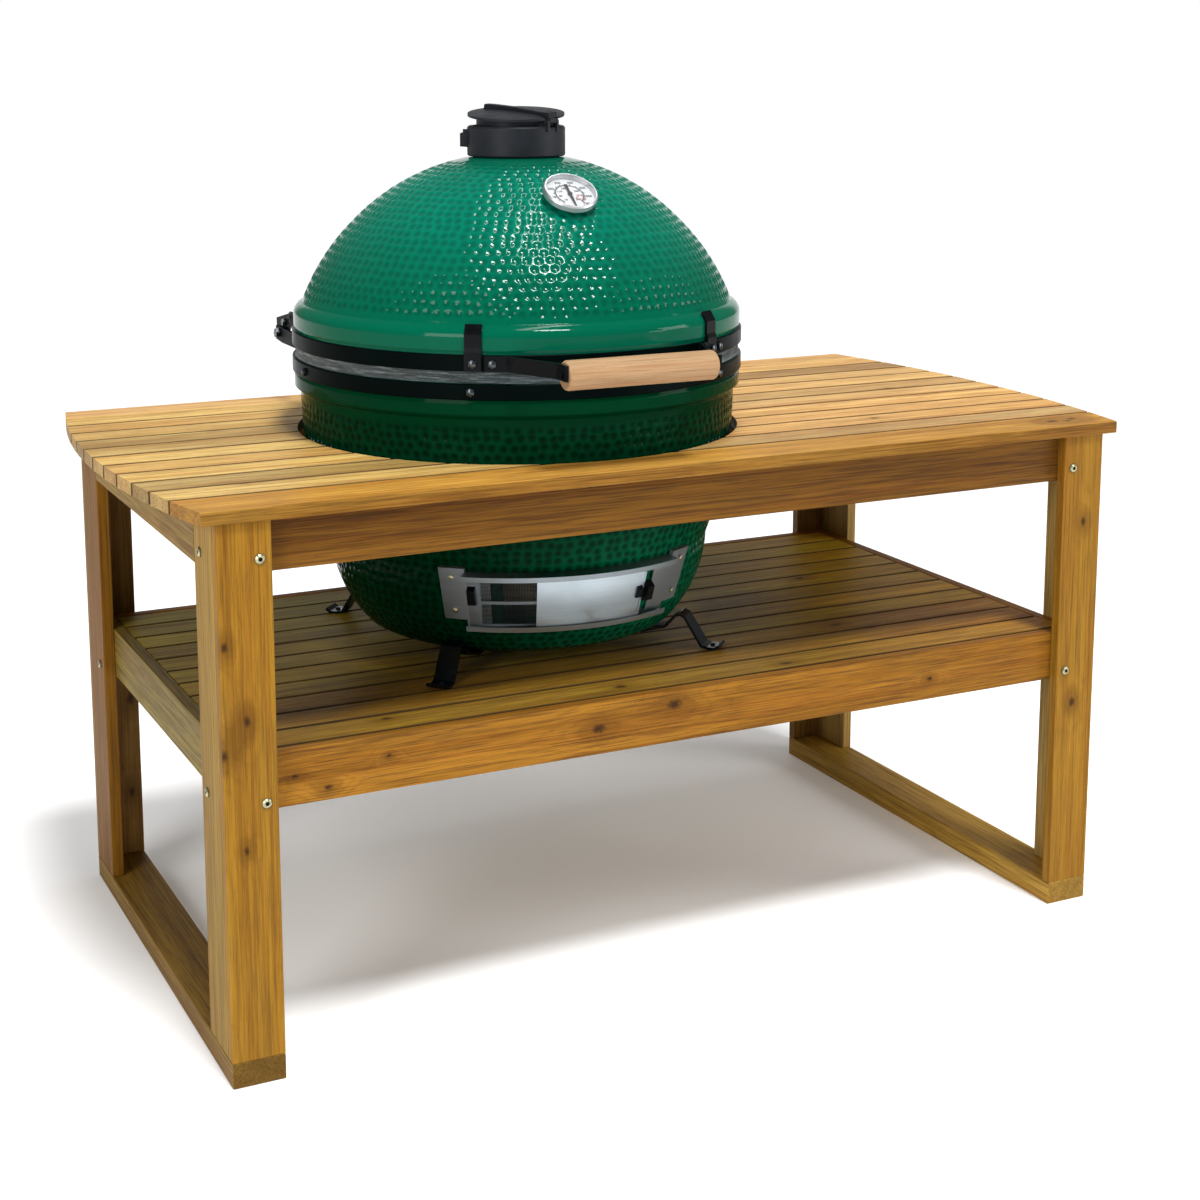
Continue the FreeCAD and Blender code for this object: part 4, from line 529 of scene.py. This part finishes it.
def densify(points, step):
    """Points along a chain of straight runs and three-point arcs, about step apart."""
    out = [points[0][:2]]
    for i in range(1, len(points)):
        a, b = out[-1], points[i][:2]
        mid = points[i][2] if len(points[i]) > 2 else None
        if mid is None:
            ln = math.hypot(b[0] - a[0], b[1] - a[1])
            k = max(1, int(round(ln / step)))
            for j in range(1, k + 1):
                out.append((a[0] + (b[0] - a[0]) * j / k, a[1] + (b[1] - a[1]) * j / k))
        else:
            ax, ay, bx, by, cx, cy = *a, *mid, *b
            d = 2 * (ax * (by - cy) + bx * (cy - ay) + cx * (ay - by))
            ux = ((ax * ax + ay * ay) * (by - cy) + (bx * bx + by * by) * (cy - ay) + (cx * cx + cy * cy) * (ay - by)) / d
            uy = ((ax * ax + ay * ay) * (cx - bx) + (bx * bx + by * by) * (ax - cx) + (cx * cx + cy * cy) * (bx - ax)) / d
            r = math.hypot(ax - ux, ay - uy)
            t0, tm, t1 = (math.atan2(p[1] - uy, p[0] - ux) for p in (a, mid, b))

            def unwrap(t, ref, ccw):
                while ccw and t < ref:
                    t += 2 * math.pi
                while not ccw and t > ref:
                    t -= 2 * math.pi
                return t
            ccw = (bx - ax) * (cy - by) - (by - ay) * (cx - bx) > 0
            t1 = unwrap(t1, t0, ccw)
            k = max(2, int(round(abs(t1 - t0) * r / step)))
            for j in range(1, k + 1):
                t = t0 + (t1 - t0) * j / k
                out.append((ux + r * math.cos(t), uy + r * math.sin(t)))
    return out


def dimple_field(profile, s_range, pitch, seed, jitter=0.12):
    """Scattered centres, close packed with some disorder, on a turned surface."""
    rnd = random.Random(seed)
    pts = np.array(profile)
    seg = np.hypot(*(pts[1:] - pts[:-1]).T)
    s = np.concatenate([[0], np.cumsum(seg)])
    rows = int((s_range[1] - s_range[0]) / (pitch * 0.88))
    out = []
    for i in range(rows + 1):
        at = s_range[0] + (s_range[1] - s_range[0]) * i / max(rows, 1)
        r = float(np.interp(at, s, pts[:, 0]))
        count = max(6, int(round(2 * math.pi * r / pitch)))
        off = 0.5 * (i % 2) + rnd.uniform(-0.16, 0.16)
        for j in range(count):
            a = 2 * math.pi * (j + off + rnd.uniform(-jitter, jitter)) / count
            ss = at + rnd.uniform(-jitter, jitter) * pitch
            rr = float(np.interp(ss, s, pts[:, 0]))
            zz = float(np.interp(ss, s, pts[:, 1]))
            out.append((rr * math.cos(a), rr * math.sin(a), zz, rnd.uniform(0.95, 1.04)))
    return out


def turned_mesh(name, outer, inner, cols, field=None, hole=None, bump=None):
    """Closed turned shell.  outer: dense (r, z) going up the outside; inner: sparse, coming back down.
    bump(distance ratio, z) -> height (m) and pit darkening, partly glazing pooled in the hollows and partly painted
    shade.  hole: (az0, az1, z0, z1) in radians and metres."""
    out = np.array(outer)
    tang = np.gradient(out, axis=0)
    nrm = np.stack([tang[:, 1], -tang[:, 0]], 1)
    nrm /= np.maximum(np.linalg.norm(nrm, axis=1, keepdims=True), 1e-9)
    az = np.linspace(0, 2 * math.pi, cols, endpoint=False)
    ca, sa = np.cos(az), np.sin(az)
    P = np.zeros((len(out), cols, 3))
    P[:, :, 0] = out[:, 0, None] * ca
    P[:, :, 1] = out[:, 0, None] * sa
    P[:, :, 2] = out[:, 1, None]
    N = np.zeros_like(P)
    N[:, :, 0] = nrm[:, 0, None] * ca
    N[:, :, 1] = nrm[:, 0, None] * sa
    N[:, :, 2] = nrm[:, 1, None]
    dark = np.zeros((len(out), cols))
    if field:
        kd = kdtree.KDTree(len(field))
        for i, f in enumerate(field):
            kd.insert(f[:3], i)
        kd.balance()
        z0 = min(f[2] for f in field) - 0.02
        z1 = max(f[2] for f in field) + 0.02
        find = kd.find
        for i in range(len(out)):
            if not z0 <= out[i, 1] <= z1:
                continue
            rowp = P[i]
            for j in range(cols):
                co, idx, dist = find(rowp[j])
                h, k = bump(dist, field[idx][3], out[i, 1], (az[j] + math.pi) % (2 * math.pi) - math.pi)
                if h:
                    h += 0.00016 * waver(Vector(rowp[j]) * 95.0)
                if h:
                    P[i, j] += N[i, j] * h
                dark[i, j] = k
    inn = np.array(inner)
    Q = np.zeros((len(inn), cols, 3))
    Q[:, :, 0] = inn[:, 0, None] * ca
    Q[:, :, 1] = inn[:, 0, None] * sa
    Q[:, :, 2] = inn[:, 1, None]
    rows = np.concatenate([P, Q]).reshape(-1, 3)
    nr = len(out) + len(inn)
    faces = []
    zs = np.concatenate([out[:, 1], inn[:, 1]])
    n_out = len(out)
    azc = (az + math.pi) % (2 * math.pi) - math.pi

    def in_hole(i, j):
        if hole is None:
            return False
        zc = (zs[i] + zs[(i + 1) % nr]) / 2
        return hole[0] < azc[j] < hole[1] and hole[2] < zc < hole[3] and i != n_out - 1
    for i in range(nr):
        i2 = (i + 1) % nr
        closing = i == nr - 1
        if closing and out[0, 0] < 1e-6:
            continue
        for j in range(cols):
            j2 = (j + 1) % cols
            if in_hole(i, j):
                continue
            faces.append((i * cols + j, i * cols + j2, i2 * cols + j2, i2 * cols + j))
    me = bpy.data.meshes.new(name)
    me.from_pydata([tuple(v) for v in rows], [], faces)
    me.update()
    attr = me.attributes.new("glaze", "FLOAT", "POINT")
    vals = np.concatenate([dark.ravel(), np.zeros(len(inn) * cols)]).astype(np.float32)
    attr.data.foreach_set("value", vals)
    me.polygons.foreach_set("use_smooth", [True] * len(me.polygons))
    o = bpy.data.objects.new(name, me)
    bpy.context.scene.collection.objects.link(o)
    for v in me.vertices:
        v.co.x += AX
        v.co.y += AY
    me.update()
    return o


dome_outer = densify([(0.310, 0.9045), (0.338, 0.9045), (0.338, 0.930), (0.3395, 0.934), (0.3395, 0.952),
                      (0.326, 0.968, (0.3345, 0.9625)), (0.247, 1.088, (0.294, 1.031)), (0.075, 1.181, (0.178, 1.142)),
                      (0.064, 1.1816), (0.064, 1.212), (0.050, 1.212)], 0.0012)
dome_inner = densify([(0.050, 1.212), (0.050, 1.160), (0.230, 1.068, (0.160, 1.119)), (0.299, 0.962, (0.2705, 1.020)), (0.310, 0.930), (0.310, 0.9045)], 0.012)[1:-1]
pts = np.array(dome_outer)
arc = np.concatenate([[0], np.cumsum(np.hypot(*(pts[1:] - pts[:-1]).T))])
s0 = float(arc[np.argmax(pts[:, 1] > 0.980)])
s1 = float(arc[np.argmax(pts[:, 1] > 1.174)])
dome_field = dimple_field(dome_outer, (s0, s1), 0.0150, 5, 0.11)


def pit(u, rim):
    """Depth of a pressed pit: a round bowl that ends in a thin ridge."""
    if u < 1.0:
        return -(1.0 - u * u) ** 1.5
    return 0.0


def dome_bump(dist, size, z, a):
    u = dist / (0.0077 * size)
    fade = min(1.0, max(0.0, (z - 0.969) / 0.012)) * min(1.0, max(0.0, (1.180 - z) / 0.008))
    if u > 1.35 or fade <= 0.0:
        return 0.0, 0.0
    # Second value: pit-centre darkening, partly glazing pooled in the hollows and partly painted shade.
    return pit(u, 0.0) * 0.00145 * fade, max(0.0, 1.0 - u * u) * 0.45 * fade


dome = turned_mesh("dome_shell", dome_outer, dome_inner, 1680, dome_field, None, dome_bump)
dome.data.materials.append(glaze_dome)
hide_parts("dome")
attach(dome, "lid")

bowl_outer = densify([(0.0, 0.465), (0.180, 0.465), (0.238, 0.482, (0.2125, 0.4705)), (0.291, 0.608, (0.2685, 0.524)),
                      (0.331, 0.836, (0.3225, 0.732)), (0.3395, 0.843), (0.3395, 0.860), (0.338, 0.864), (0.338, 0.888), (0.310, 0.888)], 0.0021)
bowl_inner = densify([(0.310, 0.888), (0.310, 0.850), (0.263, 0.608, (0.2955, 0.732)), (0.205, 0.500, (0.246, 0.545)), (0.165, 0.492), (0.0, 0.492)], 0.014)[1:]
pts = np.array(bowl_outer)
arc = np.concatenate([[0], np.cumsum(np.hypot(*(pts[1:] - pts[:-1]).T))])
b0 = float(arc[np.argmax(pts[:, 1] > 0.474)])
b1 = float(arc[np.argmax(pts[:, 1] > 0.820)])
bowl_field = dimple_field(bowl_outer, (b0, b1), 0.0150, 9, 0.16)


def bowl_bump(dist, size, z, a):
    u = dist / (0.0076 * size)
    fade = min(1.0, max(0.0, (0.828 - z) / 0.010)) * min(1.0, max(0.0, (z - 0.470) / 0.01))
    if u > 1.35 or fade <= 0.0:
        return 0.0, 0.0
    # Second value: pit-centre darkening, partly glazing pooled in the hollows and partly painted shade.
    return pit(u, 0.0) * 0.00140 * fade, max(0.0, 1.0 - u * u) * 0.8 * fade


bowl = turned_mesh("bowl_shell", bowl_outer, bowl_inner, 1080, bowl_field,
                   (math.radians(-119), math.radians(-75), 0.532, 0.598), bowl_bump)
bowl.data.materials.append(glaze_bowl)
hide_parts("base_bowl")
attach(bowl, "stand")

# ------------------------------------------------------------- hinge springs
S_LOW, S_TOP, S_PITCH, S_RAD, S_WIRE = 0.8075, 0.8875, 0.007, 0.0076, 0.0014


def coil_verts(cx, cy):
    """Tube round a helix: points and faces of one spring."""
    n = int((S_TOP - S_LOW) / S_PITCH * 30)
    v, f = [], []
    for i in range(n + 1):
        z = S_LOW + (S_TOP - S_LOW) * i / n
        t = 2 * math.pi * (z - S_LOW) / S_PITCH
        out = Vector((math.cos(t), math.sin(t), 0.0))
        along = Vector((-math.sin(t) * S_RAD, math.cos(t) * S_RAD, S_PITCH / (2 * math.pi))).normalized()
        up = along.cross(out)
        c = Vector((cx, cy, z)) + out * S_RAD
        for k in range(10):
            q = 2 * math.pi * k / 10
            v.append(tuple(c + out * (S_WIRE * math.cos(q)) + up * (S_WIRE * math.sin(q))))
    for i in range(n):
        for k in range(10):
            m = (k + 1) % 10
            f.append((10 * i + k, 10 * i + m, 10 * i + 10 + m, 10 * i + 10 + k))
    f.append(tuple(range(9, -1, -1)))
    f.append(tuple(10 * n + k for k in range(10)))
    return v, f


coil_v, coil_f = [], []
for sgn in (-1.0, 1.0):
    v, f = coil_verts(AX + sgn * 0.150, AY + 0.402)
    b = len(coil_v)
    coil_v += v
    coil_f += [tuple(b + i for i in q) for q in f]
me = bpy.data.meshes.new("hinge_coils")
me.from_pydata(coil_v, [], coil_f)
me.update()
me.polygons.foreach_set("use_smooth", [True] * len(me.polygons))
coils = bpy.data.objects.new("hinge_coils", me)
bpy.context.scene.collection.objects.link(coils)
me.materials.append(spring_metal)
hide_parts("hinge_springs")
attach(coils, "stand")
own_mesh(coils)

# ------------------------------------------------------------- dial and glass
g = Graph("dial_enamel")
obj, x, y, z = g.xyz()
n = g.noise(obj, 300.0, 3.0, 0.5)
dial_mat = g.set(base=g.mix(n, lin(184, 187, 189), lin(196, 199, 200)), rough=g.rng(n, 0.3, 0.7, 0.3, 0.42))
dress("thermometer_dial", dial_mat)
g = Graph("dial_glass")
obj, x, y, z = g.xyz()
n = g.noise(obj, 50.0, 2.0, 0.5)
glass = g.set(base=(1, 1, 1, 1), rough=g.rng(n, 0.3, 0.7, 0.0, 0.03), alpha=0.03, ior=1.3)
dress("thermometer_lens", glass)
ink = metal("dial_ink", lin(30, 31, 33), 0.5, 0.05, 300.0, 0.03, 0.0)
ink_red = metal("dial_ink_red", lin(196, 40, 46), 0.5, 0.05, 300.0, 0.03, 0.0)

ELEV, AZIM, RAD, HIGH = math.radians(55.6), math.radians(-91.9), 0.1976, 1.1295
t_axis = Vector((math.cos(ELEV) * math.cos(AZIM), math.cos(ELEV) * math.sin(AZIM), math.sin(ELEV)))
t_point = Vector((AX + RAD * math.cos(AZIM), AY + RAD * math.sin(AZIM), HIGH))
t_up = (Vector((0, 0, 1)) - t_axis * t_axis.z).normalized()
t_right = t_up.cross(t_axis)


def on_dial(x, y, n):
    return t_point + t_right * x + t_up * y + t_axis * n


def bpy_mesh(name, verts, faces, mat, body, smooth=False):
    me = bpy.data.meshes.new(name)
    me.from_pydata([tuple(v) for v in verts], [], faces)
    me.update()
    if smooth:
        me.polygons.foreach_set("use_smooth", [True] * len(me.polygons))
    o = bpy.data.objects.new(name, me)
    bpy.context.scene.collection.objects.link(o)
    me.materials.append(mat)
    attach(o, body)
    return o


class Pile:
    """Collects flat-sided blocks into one mesh."""

    def __init__(self):
        self.v, self.f = [], []

    def prism(self, bottom, top):
        b, k = len(self.v), len(bottom)
        self.v += list(bottom) + list(top)
        self.f.append(tuple(range(b + k - 1, b - 1, -1)))
        self.f.append(tuple(range(b + k, b + 2 * k)))
        for i in range(k):
            j = (i + 1) % k
            self.f.append((b + i, b + j, b + k + j, b + k + i))

    def text(self, body, size, at, n0, n1):
        cu = bpy.data.curves.new("t", "FONT")
        cu.body = body
        cu.size = size
        cu.align_x, cu.align_y = "CENTER", "CENTER"
        cu.extrude = (n1 - n0) / 2
        cu.offset = size * 0.018
        o = bpy.data.objects.new("t", cu)
        bpy.context.scene.collection.objects.link(o)
        bpy.context.view_layer.update()
        me = bpy.data.meshes.new_from_object(o.evaluated_get(bpy.context.evaluated_depsgraph_get()))
        b = len(self.v)
        for v in me.vertices:
            self.v.append(on_dial(at[0] + v.co.x, at[1] + v.co.y, (n0 + n1) / 2 + v.co.z))
        for q in me.polygons:
            self.f.append(tuple(b + i for i in q.vertices))
        bpy.data.meshes.remove(me)
        bpy.data.objects.remove(o)
        bpy.data.curves.remove(cu)


marks, reds = Pile(), Pile()
N0, N1 = 0.00842, 0.00872


def dial_arc(pile, r0, r1, a0, a1, steps):
    for i in range(steps):
        t0 = math.radians(a0 + (a1 - a0) * i / steps)
        t1 = math.radians(a0 + (a1 - a0) * (i + 1) / steps)
        quad = [(r0, t0), (r1, t0), (r1, t1), (r0, t1)]
        if a1 < a0:
            quad.reverse()
        pile.prism([on_dial(r * math.cos(t), r * math.sin(t), N0) for r, t in quad],
                   [on_dial(r * math.cos(t), r * math.sin(t), N1) for r, t in quad])


dial_arc(marks, 0.0200, 0.0213, 230, -50, 70)
for i in range(57):
    a = 230 - 280 * i / 56
    long = i % 4 == 0
    w = 1.5 if long else 0.8
    dial_arc(marks, 0.0213, 0.0246 if long else 0.0232, a + w, a - w, 1)
for i in range(8):
    a = math.radians(230 - 280 * i / 7)
    marks.text(str(100 * i + 50), 0.0064, (0.0284 * math.cos(a), 0.0284 * math.sin(a)), N0, N1)
    if i not in (4,):
        marks.text(str(50 * i + 10), 0.0056, (0.0152 * math.cos(a), 0.0150 * math.sin(a)), N0, N1)
for k in range(3):
    dial_arc(reds, 0.0100 + 0.0012 * k, 0.0106 + 0.0012 * k, -55, -12, 8)
dial_arc(reds, 0.0188, 0.0200, -10, -50, 12)
bpy_mesh("dial_marks", marks.v, marks.f, ink, "lid")
bpy_mesh("dial_marks_red", reds.v, reds.f, ink_red, "lid")

# ------------------------------------------------- hinge nuts and set screws


def turned_bit(pile, centre, axis, r, length, sides):
    """A prism about an axis: six sides for a nut, more for a rod."""
    axis = Vector(axis).normalized()
    side = axis.orthogonal().normalized()
    other = axis.cross(side)
    ring = [side * (r * math.cos(2 * math.pi * i / sides)) + other * (r * math.sin(2 * math.pi * i / sides)) for i in range(sides)]
    c = Vector(centre)
    pile.prism([c + q for q in ring], [c + axis * length + q for q in ring])


low_bits, high_bits = Pile(), Pile()
for sgn in (-1.0, 1.0):
    px = AX + sgn * 0.2652
    turned_bit(low_bits, (px - sgn * 0.0028, AY + 0.380, 0.882), (sgn, 0, 0), 0.0082, 0.0052, 6)
    hx_ = AX + sgn * 0.2530
    turned_bit(high_bits, (hx_, AY + 0.336, 0.9045), (0, 0.25, 1.0), 0.0030, 0.017, 20)
    turned_bit(high_bits, (hx_, AY + 0.3375, 0.9100), (0, 0.25, 1.0), 0.0062, 0.0052, 6)
    turned_bit(high_bits, (hx_ + sgn * 0.0026, AY + 0.365, 0.9010), (sgn, 0, 0), 0.0060, 0.0046, 6)
bpy_mesh("hinge_nuts_low", low_bits.v, low_bits.f, screw_metal, "stand")
bpy_mesh("hinge_nuts_high", high_bits.v, high_bits.f, screw_metal, "lid")

# ------------------------------------------- draft screen: frame and mesh
S_R, S_Z = 0.2714, 0.5215
S_LEN = math.hypot(0.0259, 0.0867)
S_D = (0.0259 / S_LEN, 0.0867 / S_LEN)
S_N = (S_D[1], -S_D[0])


def on_cone(s, n, az):
    r = S_R + s * S_D[0] + n * S_N[0]
    z = S_Z + s * S_D[1] + n * S_N[1]
    return Vector((AX + r * math.cos(az), AY + r * math.sin(az), z))


def cone_block(pile, s0, s1, n0, n1, a0, a1, steps):
    b = len(pile.v)
    for i in range(steps + 1):
        az = a0 + (a1 - a0) * i / steps
        pile.v += [on_cone(s0, n0, az), on_cone(s1, n0, az), on_cone(s1, n1, az), on_cone(s0, n1, az)]
    for i in range(steps):
        p, q = b + 4 * i, b + 4 * i + 4
        for k in range(4):
            m = (k + 1) % 4
            pile.f.append((p + k, p + m, q + m, q + k))
    pile.f.append((b + 3, b + 2, b + 1, b))
    e = b + 4 * steps
    pile.f.append((e, e + 1, e + 2, e + 3))


sheet, wires = Pile(), Pile()
A_MID, A_HALF, W_HALF = math.radians(-103.0), math.radians(25.5), math.radians(21.75)
W_ROWS = ((0.011, 0.0435), (0.0485, S_LEN - 0.011))
for s0_, s1_ in ((0.0026, 0.011), (0.0435, 0.0485), (S_LEN - 0.011, S_LEN - 0.0026)):
    cone_block(sheet, s0_, s1_, 0.0030, 0.0046, A_MID - A_HALF, A_MID + A_HALF, 60)
for s0_, s1_ in W_ROWS:
    cone_block(sheet, s0_, s1_, 0.0030, 0.0046, A_MID - A_HALF, A_MID - W_HALF, 5)
    cone_block(sheet, s0_, s1_, 0.0030, 0.0046, A_MID + W_HALF, A_MID + A_HALF, 5)
    rows = int((s1_ - s0_) / 0.0021)
    for i in range(1, rows):
        s = s0_ + (s1_ - s0_) * i / rows
        cone_block(wires, s - 0.00026, s + 0.00026, 0.0033, 0.0037, A_MID - W_HALF, A_MID + W_HALF, 48)
    cols_ = int(2 * W_HALF * 0.285 / 0.0021)
    for i in range(1, cols_):
        az = A_MID - W_HALF + 2 * W_HALF * i / cols_
        cone_block(wires, s0_, s1_, 0.0036, 0.0040, az - 0.0009, az + 0.0009, 1)
screen_sheet = bpy_mesh("screen_frame", sheet.v, sheet.f, brushed("screen_sheet_steel", lin(120, 130, 136), 0.38), "screen")
screen_wires = bpy_mesh("screen_wires", wires.v, wires.f, metal("screen_wire", lin(20, 33, 32), 0.5, 0.08, 60.0, 0.1, 0.3, spec=0.2), "screen")
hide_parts("draft_screen")

# ------------------------------------------------------------ floor and light
g = Graph("floor_white")
obj, x, y, z = g.xyz()
n = g.noise(obj, 1.2, 2.0, 0.5)
floor_mat = g.set(base=g.mix(n, lin(246, 246, 246), lin(250, 250, 250)), rough=0.9, spec=0.1)
g.bsdf.inputs["Emission Color"].default_value = (1.0, 1.0, 1.0, 1.0)
g.bsdf.inputs["Emission Strength"].default_value = 0.10
me = bpy.data.meshes.new("floor")
me.from_pydata([(-30, -30, 0), (30, -30, 0), (30, 30, 0), (-30, 30, 0)], [], [(0, 1, 2, 3)])
floor = bpy.data.objects.new("floor", me)
floor.location.z = -0.0006
bpy.context.scene.collection.objects.link(floor)
floor.data.materials.append(floor_mat)

world = bpy.data.worlds.new("world")
bpy.context.scene.world = world
world.use_nodes = True
wt = world.node_tree
wt.nodes.clear()
w_out = wt.nodes.new("ShaderNodeOutputWorld")
w_bg = wt.nodes.new("ShaderNodeBackground")
w_co = wt.nodes.new("ShaderNodeTexCoord")
w_dot = wt.nodes.new("ShaderNodeVectorMath")
w_dot.operation = "DOT_PRODUCT"
w_dot.inputs[1].default_value = (0.442, 0.897, 0.0)
w_map = wt.nodes.new("ShaderNodeMapRange")
w_map.interpolation_type = "SMOOTHSTEP"
for i, q in zip((1, 2, 3, 4), (0.86, 0.955, 0.17, 1.0)):
    w_map.inputs[i].default_value = q
wt.links.new(w_co.outputs["Generated"], w_dot.inputs[0])
wt.links.new(w_dot.outputs["Value"], w_map.inputs[0])
wt.links.new(w_map.outputs[0], w_bg.inputs[1])
wt.links.new(w_bg.outputs[0], w_out.inputs[0])
w_bg.inputs[0].default_value = (1.0, 1.0, 1.0, 1.0)


def area(name, loc, target, size, power, colour=(1, 1, 1)):
    l = bpy.data.lights.new(name, "AREA")
    l.shape = "RECTANGLE"
    l.size, l.size_y = size
    l.energy = power
    l.color = colour
    o = bpy.data.objects.new(name, l)
    o.location = loc
    o.rotation_mode = "QUATERNION"
    o.rotation_quaternion = (Vector(target) - Vector(loc)).to_track_quat("-Z", "Y")
    bpy.context.scene.collection.objects.link(o)
    return o


sun_data = bpy.data.lights.new("key", "SUN")
sun_data.energy = 3.0
sun_data.angle = math.radians(13.0)
sun = bpy.data.objects.new("key", sun_data)
sun.rotation_mode = "QUATERNION"
sun.rotation_quaternion = Vector((-0.049, 0.423, -0.905)).to_track_quat("-Z", "Y")
sun.location = (0.1, -1.3, 3.2)
bpy.context.scene.collection.objects.link(sun)
area("fill", (-3.4, -2.0, 2.0), (-0.2, 0.0, 0.6), (1.6, 2.0), 95.0)
area("low", (2.3, -2.3, 0.85), (-0.1, 0.0, 0.56), (0.6, 0.5), 8.0)
area("top", (0.15, -0.10, 3.6), (0.0, 0.0, 0.9), (2.6, 0.22), 30.0)
area("side", (3.7, -2.2, 1.7), (0.2, 0.0, 0.6), (1.4, 1.6), 60.0)
bpy.context.scene.view_settings.view_transform = "Standard"
